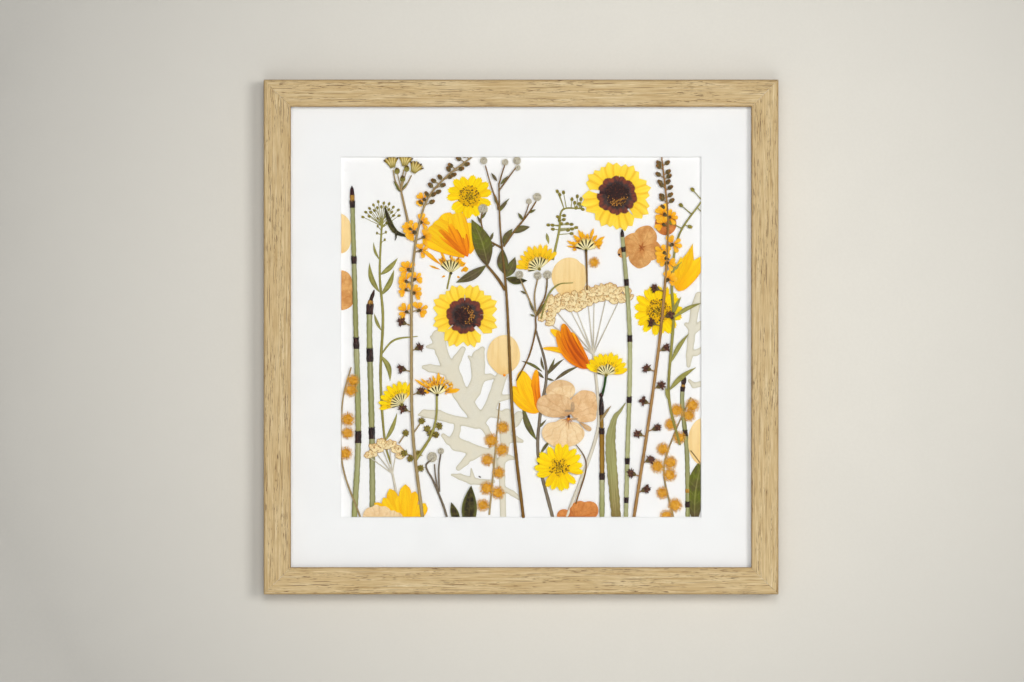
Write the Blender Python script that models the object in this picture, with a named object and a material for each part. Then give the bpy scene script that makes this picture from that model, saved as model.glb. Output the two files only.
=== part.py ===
"""A square wooden frame that holds pressed flowers and stems behind glass.

Metres, +Z up, front towards -Y. The origin is where the hanger bears on its nail, in the plane of
the wall behind the frame. Positions inside the window are millimetres from the window's centre.
"""
import math

import bmesh
import bpy
from mathutils import Matrix, Vector

MM = 0.001
GAP = 0.3            # between neighbouring pieces

# Moulding
OUTER = 324.0        # side of the square frame
FACE = 17.0          # width of the moulding's front face
DEPTH = 20.0         # front to back
LIP = 4.0            # thickness of the lip in front of the glass
REBATE = 5.0         # how far the lip covers the glass
OUTER_ROUND = 1.6    # radius of the outer front edge
SIGHT_ROUND = 0.9    # radius of the edge round the opening

# Sheets, front to back
SHEET = OUTER - 2 * (FACE - REBATE) - 1.0
GLASS = 2.0
MAT = 2.1
CARD = 0.8
BOARD = 3.0
WINDOW = 227.0       # side of the square window in the mat

# Back fittings
TAB_WIDTH = 12.0
TAB_LENGTH = 15.0
TAB_THICK = 0.8
TAB_DRIVEN = 5.0     # length driven into the rail
HANGER_WIDTH = 46.0
HANGER_HEIGHT = 9.0
HANGER_THICK = 0.8
HANGER_LIFT = 1.6    # how far the hanger's bridge stands off the board
HANGER_DROP = 33.0   # from the frame's top edge to the nail
RIVET_SPAN = 38.0
RIVET_HEAD = 2.6
RIVET_SHANK = 1.2
TOOTH = 3.0

GLASS_FRONT = -DEPTH + LIP + GAP
MAT_FRONT = GLASS_FRONT + GLASS + GAP
CARD_FRONT = MAT_FRONT + MAT + GAP
BOARD_FRONT = CARD_FRONT + CARD + GAP
BOARD_BACK = BOARD_FRONT + BOARD
TAB_FRONT = BOARD_BACK + GAP
CENTRE_Z = HANGER_DROP - OUTER / 2

# Specimens lie in thin layers on the card, the first one at the back
LAYER = 0.3

PARTS = "pressed_flower_frame"
CUTTERS = "cutters"


# ---------------------------------------------------------------- scene, materials and objects

def clear_scene():
    for obj in list(bpy.data.objects):
        bpy.data.objects.remove(obj)
    for name in (PARTS, CUTTERS):
        collection = bpy.data.collections.new(name)
        bpy.context.scene.collection.children.link(collection)


def material(name, colour, roughness=0.7, metallic=0.0, alpha=1.0):
    made = bpy.data.materials.get(name) or bpy.data.materials.new(name)
    made.use_nodes = True
    shader = made.node_tree.nodes["Principled BSDF"]
    shader.inputs["Base Color"].default_value = (*colour, 1.0)
    shader.inputs["Roughness"].default_value = roughness
    shader.inputs["Metallic"].default_value = metallic
    shader.inputs["Alpha"].default_value = alpha
    made.diffuse_color = (*colour, alpha)
    return made


def add_object(name, data, collection=PARTS):
    obj = bpy.data.objects.new(name, data)
    bpy.data.collections[collection].objects.link(obj)
    return obj


def finish(obj, finish_material):
    triangulate(obj.data)
    obj.data.materials.clear()
    obj.data.materials.append(finish_material)
    return obj


def as_mesh(obj, name):
    """A copy of the evaluated object as a welded mesh in world space. The object is removed."""
    bpy.context.view_layer.update()
    graph = bpy.context.evaluated_depsgraph_get()
    mesh = bpy.data.meshes.new_from_object(obj.evaluated_get(graph))
    mesh.transform(obj.matrix_world)
    bpy.data.objects.remove(obj)
    shape = bmesh.new()
    shape.from_mesh(mesh)
    bmesh.ops.remove_doubles(shape, verts=shape.verts, dist=1e-6)
    bmesh.ops.dissolve_limit(shape, angle_limit=math.radians(0.5), verts=shape.verts,
                             edges=shape.edges)
    bmesh.ops.recalc_face_normals(shape, faces=shape.faces)
    shape.to_mesh(mesh)
    shape.free()
    return add_object(name, mesh)


def triangulate(mesh):
    """Splits every face by ear clipping, which keeps to the outline of a deeply notched face."""
    shape = bmesh.new()
    shape.from_mesh(mesh)
    bmesh.ops.triangulate(shape, faces=shape.faces, ngon_method="EAR_CLIP")
    shape.to_mesh(mesh)
    shape.free()


def as_cutter(obj):
    for collection in list(obj.users_collection):
        collection.objects.unlink(obj)
    bpy.data.collections[CUTTERS].objects.link(obj)
    obj.hide_render = True
    obj.display_type = "WIRE"
    return obj


def boolean(obj, other, operation):
    modifier = obj.modifiers.new(operation.lower(), "BOOLEAN")
    modifier.operation = operation
    modifier.solver = "EXACT"
    modifier.object = other


def fuse(name, shapes):
    """One solid made of overlapping shapes."""
    body = shapes[0]
    for other in shapes[1:]:
        boolean(body, as_cutter(other), "UNION")
    fused = as_mesh(body, name)
    for other in shapes[1:]:
        bpy.data.objects.remove(other)
    return fused


def box(name, low, high):
    """A box between two corners, in millimetres."""
    mesh = bpy.data.meshes.new(name)
    shape = bmesh.new()
    bmesh.ops.create_cube(shape, size=1.0)
    size = [(b - a) * MM for a, b in zip(low, high)]
    middle = [(a + b) / 2 * MM for a, b in zip(low, high)]
    bmesh.ops.scale(shape, vec=size, verts=shape.verts)
    bmesh.ops.translate(shape, vec=middle, verts=shape.verts)
    shape.to_mesh(mesh)
    shape.free()
    return add_object(name, mesh)


def sheet(name, side, front, thick):
    """A square sheet, centred in the frame, with its front face at the depth given."""
    half = side / 2
    return box(name, (-half, front, CENTRE_Z - half), (half, front + thick, CENTRE_Z + half))


def cylinder_y(name, x, z, radius, y0, y1, sides=12):
    mesh = bpy.data.meshes.new(name)
    shape = bmesh.new()
    bmesh.ops.create_cone(shape, cap_ends=True, segments=sides, radius1=radius * MM,
                          radius2=radius * MM, depth=(y1 - y0) * MM)
    place = Matrix.Translation((x * MM, (y0 + y1) / 2 * MM, z * MM))
    shape.transform(place @ Matrix.Rotation(math.pi / 2, 4, "X"))
    shape.to_mesh(mesh)
    shape.free()
    return add_object(name, mesh)


def outline(name, points, thick):
    """A flat outline in its own XY plane, in millimetres, with a thickness along Z."""
    curve = bpy.data.curves.new(name, "CURVE")
    curve.dimensions = "2D"
    curve.fill_mode = "BOTH"
    curve.extrude = thick / 2 * MM
    spline = curve.splines.new("POLY")
    spline.points.add(len(points) - 1)
    spline.use_cyclic_u = True
    for point, (x, y) in zip(spline.points, points):
        point.co = (x * MM, y * MM, 0.0, 1.0)
    return add_object(name, curve)


# ---------------------------------------------------------------- the frame and its sheets

def arc(centre, radius, start, end, steps=4):
    turns = [math.radians(start + (end - start) * i / steps) for i in range(steps + 1)]
    return [(centre[0] + radius * math.cos(a), centre[1] + radius * math.sin(a)) for a in turns]


def rail_profile():
    """Across the rail from its outer edge at x 0, with the front face at y DEPTH."""
    outer = arc((OUTER_ROUND, DEPTH - OUTER_ROUND), OUTER_ROUND, 180, 90)
    sight = arc((FACE - SIGHT_ROUND, DEPTH - SIGHT_ROUND), SIGHT_ROUND, 90, 0)
    ledge = [(FACE, DEPTH - LIP), (FACE - REBATE, DEPTH - LIP), (FACE - REBATE, 0)]
    return [(0, 0)] + outer + sight + ledge


def rail_mesh():
    """The top rail, mitred at both ends, with a slot for the tab in its rebate wall."""
    bar = outline("rail", rail_profile(), OUTER)
    # profile x runs inwards from the outer edge (down), profile y from the back to the front
    bar.matrix_world = Matrix((
        (0, 0, 1, 0),
        (0, -1, 0, 0),
        (-1, 0, 0, OUTER / 2 * MM),
        (0, 0, 0, 1),
    ))
    bar = as_mesh(bar, "rail")
    shape = bmesh.new()
    shape.from_mesh(bar.data)
    for side in (-1, 1):
        normal = Vector((side, 0, -1)).normalized()
        bmesh.ops.bisect_plane(shape, geom=shape.verts[:] + shape.edges[:] + shape.faces[:],
                               plane_co=-normal * GAP / 2 * MM, plane_no=normal,
                               clear_outer=True, dist=1e-7)
        open_edges = [edge for edge in shape.edges if edge.is_boundary]
        bmesh.ops.holes_fill(shape, edges=open_edges)
    shape.to_mesh(bar.data)
    shape.free()
    half_slot = TAB_WIDTH / 2 + GAP
    wall = OUTER / 2 - (FACE - REBATE)
    slot = box("tab_slot", (-half_slot, TAB_FRONT - GAP, wall - 1),
               (half_slot, TAB_FRONT + TAB_THICK + GAP, wall + TAB_DRIVEN + GAP))
    boolean(bar, as_cutter(slot), "DIFFERENCE")
    bar = as_mesh(bar, "rail")
    bpy.data.objects.remove(slot)
    mesh = bar.data
    bpy.data.objects.remove(bar)
    mesh.shade_smooth()
    mesh.set_sharp_from_angle(angle=math.radians(40))
    return mesh


def turned(obj, quarter):
    """Placed at the frame's centre and turned clockwise by a number of quarter turns."""
    obj.location = (0, 0, CENTRE_Z * MM)
    obj.rotation_euler = (0, quarter * math.pi / 2, 0)
    return obj


def make_rails():
    oak = material("oak_moulding", (0.62, 0.50, 0.28), 0.55)
    mesh = rail_mesh()
    for quarter, name in enumerate(("top_rail", "right_rail", "bottom_rail", "left_rail")):
        finish(turned(add_object(name, mesh), quarter), oak)


def make_sheets():
    glass = sheet("glazing", SHEET, GLASS_FRONT, GLASS)
    finish(glass, material("clear_glass", (0.95, 0.97, 0.97), 0.05, alpha=0.2))
    mat = sheet("window_mat", SHEET, MAT_FRONT, MAT)
    window = sheet("mat_window", WINDOW, MAT_FRONT - 1, MAT + 2)
    boolean(mat, as_cutter(window), "DIFFERENCE")
    mat = as_mesh(mat, "window_mat")
    bpy.data.objects.remove(window)
    finish(mat, material("white_mat", (0.93, 0.93, 0.92), 0.85))
    card = sheet("mounting_card", SHEET, CARD_FRONT, CARD)
    finish(card, material("white_card", (0.92, 0.93, 0.94), 0.85))
    make_board()


def make_board():
    board = sheet("backing_board", SHEET, BOARD_FRONT, BOARD)
    holes = []
    for side in (-1, 1):
        x = side * RIVET_SPAN / 2
        hole = cylinder_y("rivet_hole", x, hanger_middle(), RIVET_SHANK + GAP,
                          BOARD_BACK - 2.2, BOARD_BACK + 1)
        boolean(board, as_cutter(hole), "DIFFERENCE")
        holes.append(hole)
    board = as_mesh(board, "backing_board")
    for hole in holes:
        bpy.data.objects.remove(hole)
    finish(board, material("brown_hardboard", (0.30, 0.19, 0.10), 0.8))


def make_tabs():
    """Four flat steel tabs that are driven into the rebate walls and hold the board in."""
    steel = material("tab_steel", (0.62, 0.62, 0.60), 0.35, 1.0)
    wall = OUTER / 2 - (FACE - REBATE)
    half = TAB_WIDTH / 2
    point = 3.0
    top = wall + TAB_DRIVEN
    tip = top - TAB_LENGTH
    shape = [(-half, top), (half, top), (half, tip + point), (half - point, tip),
             (point - half, tip), (-half, tip + point)]
    plate = outline("tab", shape, TAB_THICK)
    plate.rotation_euler = (math.pi / 2, 0, 0)
    plate.location = (0, (TAB_FRONT + TAB_THICK / 2) * MM, 0)
    plate = as_mesh(plate, "tab")
    mesh = plate.data
    bpy.data.objects.remove(plate)
    for quarter, side in enumerate(("top", "right", "bottom", "left")):
        finish(turned(add_object(f"{side}_tab", mesh), quarter), steel)


def hanger_middle():
    """Height of the middle of the hanger plate: the teeth bear on the nail at height 0."""
    return HANGER_HEIGHT / 2 - TOOTH / 4


def make_hanger():
    """A toothed hanger plate: flat ends on the board, and a raised bridge with teeth below."""
    steel = material("hanger_steel", (0.66, 0.64, 0.58), 0.3, 1.0)
    back = BOARD_BACK + GAP
    half = HANGER_WIDTH / 2
    foot = half - 7.5
    rise = 2.0
    lower = [(-half, back), (-foot, back), (rise - foot, back + HANGER_LIFT),
             (foot - rise, back + HANGER_LIFT), (foot, back), (half, back)]
    upper = [(x, y + HANGER_THICK) for x, y in reversed(lower)]
    plate = outline("hanger_plate", lower + upper, HANGER_HEIGHT)
    plate.location = (0, 0, hanger_middle() * MM)
    plate = as_mesh(plate, "hanger_plate")
    low = hanger_middle() - HANGER_HEIGHT / 2
    teeth = []
    count = 8
    for i in range(count):
        x = (i - count / 2) * TOOTH
        teeth += [(x, low - 0.01), (x + TOOTH / 2, low + TOOTH / 2)]
    teeth += [(count / 2 * TOOTH, low - 0.01), (count / 2 * TOOTH, low - 2)]
    teeth += [(-count / 2 * TOOTH, low - 2)]
    saw = outline("saw", teeth, 10)
    saw.rotation_euler = (math.pi / 2, 0, 0)
    saw = as_mesh(saw, "saw")
    cutters = [saw]
    for side in (-1, 1):
        cutters.append(cylinder_y("plate_hole", side * RIVET_SPAN / 2, hanger_middle(),
                                  RIVET_SHANK + GAP, back - 1, back + HANGER_THICK + 1))
    for cutter in cutters:
        boolean(plate, as_cutter(cutter), "DIFFERENCE")
    plate = as_mesh(plate, "hanger_plate")
    for cutter in cutters:
        bpy.data.objects.remove(cutter)
    finish(plate, steel)
    for side, name in ((-1, "left"), (1, "right")):
        x = side * RIVET_SPAN / 2
        head_front = back + HANGER_THICK + GAP
        head = cylinder_y("rivet_head", x, hanger_middle(), RIVET_HEAD, head_front,
                          head_front + 0.8)
        shank = cylinder_y("rivet_shank", x, hanger_middle(), RIVET_SHANK,
                           BOARD_BACK - 1.8, head_front + 0.4)
        finish(fuse(f"{name}_hanger_rivet", [head, shank]), steel)


# ---------------------------------------------------------------- outlines of plant pieces

def unit(a, b):
    along = Vector((b[0] - a[0], b[1] - a[1]))
    return along.normalized()


def ribbon(route, widths):
    """The outline of a strip along a route. Two widths are first and last, more are one each."""
    count = len(route)
    if len(widths) == 2:
        first, last = widths
        widths = [first + (last - first) * i / (count - 1) for i in range(count)]
    left, right = [], []
    for i, (x, y) in enumerate(route):
        along = unit(route[max(i - 1, 0)], route[min(i + 1, count - 1)])
        half = widths[i] / 2
        left.append((x - along.y * half, y + along.x * half))
        right.append((x + along.y * half, y - along.x * half))
    return left + right[::-1]


def beside(route, first, last, count, reach, sides=(1, -1)):
    """Places beside a stem, on each of the given sides in turn, between two shares of it."""
    runs = [math.dist(a, b) for a, b in zip(route, route[1:])]
    places = []
    for i in range(count):
        left = (first + (last - first) * i / max(1, count - 1)) * sum(runs)
        leg = 0
        while leg < len(runs) - 1 and left > runs[leg]:
            left -= runs[leg]
            leg += 1
        along = unit(route[leg], route[leg + 1])
        out = reach * sides[i % len(sides)]
        places.append((route[leg][0] + along.x * left + along.y * out,
                       route[leg][1] + along.y * left - along.x * out))
    return places


def blade(base, tip, width, belly=0.45, steps=4):
    """A leaf or petal from base to tip, widest at the fraction belly of its length."""
    along = unit(base, tip)
    length = math.dist(base, tip)
    power = math.log(0.5) / math.log(belly)
    left, right = [base], []
    for i in range(1, steps + 1):
        t = i / (steps + 1)
        half = width / 2 * math.sin(math.pi * t ** power)
        x, y = base[0] + along.x * length * t, base[1] + along.y * length * t
        left.append((x - along.y * half, y + along.x * half))
        right.append((x + along.y * half, y - along.x * half))
    return left + [tip] + right[::-1]


def disc(centre, radius, sides=8, squash=1.0):
    steps = [2 * math.pi * i / sides for i in range(sides)]
    return [(centre[0] + radius * math.cos(a), centre[1] + radius * squash * math.sin(a))
            for a in steps]


def rosette(centre, radius, petals, notch=0.8, shoulder=0.3, turn=0.0):
    """A round flower head: each petal is a blunt tip between two notches."""
    points = []
    for i in range(petals):
        middle = turn + 360 * i / petals
        for offset, reach in ((-0.5, notch), (-shoulder, 1.0), (shoulder, 1.0)):
            a = math.radians(middle + offset * 360 / petals)
            points.append((centre[0] + radius * reach * math.cos(a),
                           centre[1] + radius * reach * math.sin(a)))
    return points


def fan(base, radius, start, end, petals, notch=0.85):
    """A flower head seen from the side: a fan of petals above its base."""
    points = [base]
    step = (end - start) / petals
    for i in range(petals):
        for offset, reach in ((0.0, notch), (0.25, 1.0), (0.75, 1.0)):
            a = math.radians(start + (i + offset) * step)
            points.append((base[0] + radius * reach * math.cos(a),
                           base[1] + radius * reach * math.sin(a)))
    last = math.radians(end)
    points.append((base[0] + radius * notch * math.cos(last),
                   base[1] + radius * notch * math.sin(last)))
    return points


# ---------------------------------------------------------------- specimens

class Specimen:
    """Flat shapes of one pressed piece, fused in its own XY plane, trimmed to the window and then
    stood up in its layer."""

    def __init__(self, name, layer, colour):
        self.name = name
        self.colour = colour
        back = CARD_FRONT - GAP - layer * (LAYER + GAP)
        self.middle = back - LAYER / 2
        self.shapes = []

    def add(self, points):
        self.shapes.append(as_mesh(outline(self.name, points, LAYER), self.name))

    def stem(self, route, *widths):
        self.add(ribbon(route, widths))

    def leaves(self, *blades):
        for base, tip, width in blades:
            self.add(blade(base, tip, width))

    def petals(self, *blades):
        for base, tip, width in blades:
            self.add(blade(base, tip, width, 0.62))

    def buds(self, radius, *centres, sides=6):
        for centre in centres:
            self.add(disc(centre, radius, sides))

    def done(self):
        half = WINDOW / 2 - GAP
        made = fuse(self.name, self.shapes) if len(self.shapes) > 1 else self.shapes[0]
        reach = max(max(abs(v.co.x), abs(v.co.y)) for v in made.data.vertices)
        if reach > half * MM:
            trim = as_cutter(box("window_trim", (-half, -half, -LAYER), (half, half, LAYER)))
            boolean(made, trim, "INTERSECT")
            made = as_mesh(made, self.name)
            bpy.data.objects.remove(trim)
        made.rotation_euler = (math.pi / 2, 0, 0)
        made.location = (0, self.middle * MM, CENTRE_Z * MM)
        finish(made, material(self.name, self.colour))


OLIVE = (0.29, 0.30, 0.10)
HORSETAIL_GREEN = (0.33, 0.36, 0.14)
YELLOW = (0.95, 0.65, 0.02)
ORANGE = (0.85, 0.33, 0.02)
PEACH = (0.90, 0.66, 0.36)
TAN = (0.62, 0.36, 0.13)
STRAW = (0.75, 0.58, 0.30)
GREY_BUD = (0.45, 0.40, 0.28)
SILVER = (0.74, 0.70, 0.56)
BROWN = (0.22, 0.13, 0.05)
MIMOSA = (0.80, 0.42, 0.04)

MIMOSA_BALL = 4.3         # radius of one fluffy ball


def horsetail(name, layer, route, joints, width, tip_at=None):
    """A jointed stem: a ribbon with a wider sheath at each joint height."""
    piece = Specimen(name, layer, HORSETAIL_GREEN)
    piece.stem(route, width, width)
    for x, y in joints:
        half, tall = width * 0.62, 3.0
        band = [(x - half, y - tall), (x + half, y - tall), (x + half * 1.15, y + tall),
                (x - half * 1.15, y + tall)]
        piece.add(band)
    if tip_at:
        start, end = tip_at
        piece.leaves((start, end, width * 1.1))
    piece.done()


def make_horsetails():
    horsetail("horsetail_far_left", 2, [(-106.5, 84), (-104, 5), (-102.5, -62), (-105, -116)],
              [(-106.5, 83), (-105.3, 48), (-104, -4), (-102.5, -63)], 3.0,
              ((-106.5, 82), (-107, 95.5)))
    horsetail("horsetail_left", 0, [(-95.5, 22), (-94, -60), (-93.5, -116)],
              [(-95.5, 18), (-95, -11), (-94, -61)], 3.4, ((-95.3, 19), (-93.5, 29.5)))
    horsetail("horsetail_tall_right", 2, [(64, 64), (68.5, 0), (67, -75), (66, -116)],
              [(64.6, 55), (66, 34), (68.5, -1), (67.7, -40), (67, -78), (66.4, -103)], 2.6,
              ((64.3, 61), (63.5, 67.5)))
    horsetail("horsetail_short_right", 2, [(51, -53), (51, -116)],
              [(51, -59.5), (51, -88)], 3.2, ((51, -54), (50.5, -37.5)))
    horsetail("horsetail_far_right", 0,
              [(103, -33), (101.5, -41), (104.5, -73), (105, -116)],
              [(103.3, -60.5), (104.8, -105.5)], 2.8, ((102.8, -34), (103, -27)))



def make_sprigs():
    piece = Specimen("umbel_sprig_left", 0, OLIVE)
    piece.stem([(-87.5, 75), (-89, 40), (-88, -6), (-86, -64), (-82, -79)], 1.6, 2.0)
    crown = (-87.5, 73)
    for turn in (35, 60, 90, 120, 150):
        a = math.radians(turn)
        head = (crown[0] + 11.5 * math.cos(a), crown[1] + 11.5 * math.sin(a))
        piece.stem([crown, head], 1.0, 0.8)
        piece.buds(2.0, head, sides=5)
    piece.leaves(((-89, 52), (-93, 60), 2.0), ((-89, 42), (-77.5, 50), 2.6),
                 ((-89, 30), (-95.5, 47), 3.4), ((-88.6, 25), (-80.5, 43), 2.6),
                 ((-88.5, -12), (-83, -28), 3.0), ((-85.4, -67), (-78.5, -48), 2.4))
    piece.stem([(-88.5, -12), (-82, -3.5), (-76, -1), (-66, 0.5)], 1.2, 0.9)
    piece.done()

    piece = Specimen("tansy_sprig", 2, OLIVE)
    piece.stem([(-76, 94), (-74, 84), (-70.5, 64), (-68.5, 59)], 2.4, 2.2)
    piece.stem([(-76, 92), (-81, 108)], 1.6, 1.8)
    piece.stem([(-75.5, 92), (-68, 105)], 1.2, 1.2)
    piece.stem([(-75.8, 92), (-73, 110)], 1.4, 1.4)
    piece.add(fan((-80.5, 106), 9.5, 62, 122, 3))
    piece.add(fan((-73, 106), 8.5, 60, 120, 3))
    piece.add(fan((-70.5, 102), 8.5, 15, 88, 3))
    piece.buds(3.2, (-78, 104))
    piece.stem([(-70.4, 64.2), (-76, 65), (-81, 69), (-83.5, 74.5), (-85.5, 81)], 1.6, 2.8, 3.0,
               3.0, 1.2)
    piece.done()

    piece = Specimen("centre_trio_sprig", 2, GREY_BUD)
    piece.stem([(-2.5, -27), (4, -8), (9.3, 10), (15, 24), (16.5, 39)], 1.2, 1.4)
    piece.stem([(9.5, 12), (5, 22), (-1, 38)], 1.2, 1.0)
    piece.stem([(10, 13), (11.5, 25), (10.5, 38)], 1.2, 1.0)
    piece.buds(2.9, (-1, 39), (10.5, 38.5), (16.5, 40), sides=8)
    piece.leaves(((14, 19), (16, 35), 2.6), ((9, 13), (5, 14.5), 1.6))
    piece.stem([(15, 23), (19, 29), (24, 33), (32, 34)], 1.4, 0.8)
    piece.done()

    piece = Specimen("leafy_stem_centre", 0, OLIVE)
    piece.stem([(9.5, 4), (16, -22), (12, -49), (11, -76), (20, -116)], 1.8, 2.2)
    piece.leaves(((16.3, -23), (12.5, -11), 2.2), ((16, -25), (21, -12), 2.4),
                 ((15, -28), (27.5, -14), 3.0), ((20, -28), (36.5, -18), 3.2),
                 ((15, -30), (5, -16), 2.0), ((10.8, -66), (1, -42), 4.0))
    piece.stem([(14, -33), (22, -26.5)], 1.4, 1.2)
    piece.done()

    piece = Specimen("umbel_sprig_centre", 0, OLIVE)
    piece.stem([(20, 50), (24, 67), (26, 80), (38, 81)], 2.0, 1.2)
    for fork, head in (((24, 67), (18, 69.5)), ((25, 75), (25, 90)), ((30, 80.3), (36, 88)),
                       ((26, 79), (32, 69)), ((25, 74), (29.5, 71))):
        piece.stem([fork, head], 1.1, 0.9)
        piece.buds(1.8, head, sides=5)
    piece.buds(1.8, (38.5, 80.5), sides=5)
    piece.done()

    piece = Specimen("cress_sprig_right", 2, OLIVE)
    piece.stem([(116, 89), (99, 63), (95, 34), (96, 10), (93, -36), (100, -68)], 1.8, 1.4)
    piece.stem([(106, 74), (102.5, 86)], 0.9, 0.8)
    piece.stem([(109, 78), (106, 91)], 0.9, 0.8)
    piece.buds(1.8, (102.5, 86), (105.5, 91.5), (107.5, 81), sides=5)
    piece.leaves(((96, 14), (114, 21.5), 2.6), ((96, 13), (101, 25), 2.0),
                 ((94.5, -15), (105.5, 2), 3.0), ((93.5, -31), (110, -19.5), 2.8))
    piece.done()

    piece = Specimen("button_sprig_lower_left", 2, GREY_BUD)
    piece.stem([(-56, -77), (-54.5, -88), (-52, -97), (-46, -116)], 1.0, 1.4)
    piece.stem([(-50.5, -72), (-51, -97)], 0.9, 0.9)
    piece.stem([(-60.5, -78), (-56, -89), (-51.8, -98)], 0.9, 1.0)
    piece.buds(3.6, (-56, -76), sides=8)
    piece.buds(2.2, (-50.5, -72))
    piece.done()


def make_button_sprig():
    """The tall sprig in the middle, split at its forks into the stem and two side branches."""
    piece = Specimen("button_sprig_stem", 3, BROWN)
    piece.stem([(-14, 97), (-13, 67), (-9, 24), (-5, -54), (2, -116)], 1.5, 2.0)
    piece.stem([(-14.5, 95), (-18.5, 103), (-23.5, 111)], 1.0, 0.9)
    piece.stem([(-14.3, 96), (-10, 110)], 1.0, 0.9)
    piece.stem([(-14.3, 94), (-9, 100), (-2.5, 111)], 1.0, 0.9)
    piece.stem([(-13.8, 84), (-9, 88), (-2, 105)], 1.0, 0.9)
    piece.buds(2.3, (-23.5, 111))
    piece.buds(2.7, (-10, 110), (-2.5, 111), (-2, 105.5))
    piece.leaves(((-14, 84), (-7, 88.5), 2.0), ((-10, 33), (-6, 66), 7.0),
                 ((-9.5, 36), (5, 36), 4.6), ((-9.8, 31), (-18, 42), 4.0))
    piece.done()

    piece = Specimen("button_sprig_left_branch", 1, BROWN)
    piece.stem([(-13, 56), (-20.5, 61), (-24, 66), (-25.5, 80)], 1.4, 1.0)
    piece.buds(3.4, (-24, 80.5), sides=8)
    piece.leaves(((-16, 57), (-20, 63.5), 1.8))
    piece.done()

    piece = Specimen("button_sprig_right_branch", 2, BROWN)
    piece.stem([(-11, 57), (-4, 67), (1, 73), (10, 87)], 1.4, 1.0)
    piece.stem([(0, 72), (5, 85)], 1.0, 0.9)
    piece.buds(2.9, (10, 88), sides=8)
    piece.buds(2.1, (5, 85))
    piece.leaves(((-6, 64), (6, 70), 4.6), ((-7, 62), (-5.5, 72), 2.4))
    piece.done()

    piece = Specimen("leaf_pair_sprig", 2, OLIVE)
    piece.stem([(-13, 34), (-21.5, 45.5)], 1.4, 1.2)
    piece.add(blade((-21.3, 45), (-31, 74), 11.0))
    piece.add(blade((-21.5, 46), (-40.5, 34), 6.0))
    piece.done()


def make_agrimony():
    """Two tall spikes: buds at the top, then flowers, then fruits, on either side in turn."""
    piece = Specimen("agrimony_spike_left", 3, STRAW)
    arch = [(-28, 115), (-48, 100), (-61, 82), (-68, 45), (-69, -10), (-68, -62), (-62, -116)]
    piece.stem(arch, 1.8, 2.2)
    piece.buds(2.2, *beside(arch, 0.06, 0.15, 4, 2.0), sides=5)
    piece.buds(4.2, *beside(arch, 0.20, 0.48, 11, 3.4), sides=5)
    piece.buds(2.2, *beside(arch, 0.52, 0.72, 3, 2.0), sides=5)
    piece.done()

    piece = Specimen("agrimony_spike_right", 3, STRAW)
    lean = [(88.5, 116), (92.5, 70), (89, 15), (82, -42), (70.5, -116)]
    piece.stem(lean, 1.9, 2.0)
    piece.buds(2.2, *beside(lean, 0.04, 0.14, 6, 2.0), sides=5)
    piece.buds(4.2, *beside(lean, 0.18, 0.34, 7, 3.0), sides=5)
    piece.buds(2.6, *beside(lean, 0.40, 0.93, 10, 2.6), sides=5)
    piece.done()


def make_flower_heads():
    full = (
        ("daisy_upper_left", 0, (-32.5, 88.5), 14.3, 13, 4.0),
        ("daisy_right", 0, (86.5, 16.5), 16.0, 16, 0.0),
        ("daisy_lower_centre", 3, (24, -82), 15.6, 16, 8.0),
    )
    for name, layer, centre, radius, petals, turn in full:
        piece = Specimen(name, layer, YELLOW)
        piece.add(rosette(centre, radius, petals, 0.76, turn=turn))
        piece.add(disc(centre, radius * 0.5, 14))
        piece.done()

    dark_eyed = (
        ("coreopsis_upper_right", 1, (60.5, 89.5), 21.8, 12.0),
        ("coreopsis_left", 1, (-35.5, 14), 20.8, 22.0),
    )
    for name, layer, centre, radius, turn in dark_eyed:
        piece = Specimen(name, layer, YELLOW)
        piece.add(rosette(centre, radius, 8, 0.72, 0.33, turn))
        piece.add(disc(centre, radius * 0.52, 16))
        piece.add(disc(centre, radius * 0.33, 12))
        piece.done()

    side_on = (
        ("side_daisy_upper", 1, (12, 43.5), 17.5, 55, 172, 7),
        ("side_daisy_right", 3, (54, -24), 15.5, 22, 152, 7),
        ("side_daisy_left", 2, (-74.5, -42), 16.5, 62, 180, 7),
    )
    for name, layer, base, radius, start, end, petals in side_on:
        piece = Specimen(name, layer, YELLOW)
        piece.add(fan(base, radius, start, end, petals))
        piece.add(fan(base, radius * 0.5, start, end, 3, 0.95))
        if name == "side_daisy_right":
            piece.stem([(54, -23), (51.5, -34), (51, -36)], 1.4, 1.2)
        piece.done()


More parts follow.
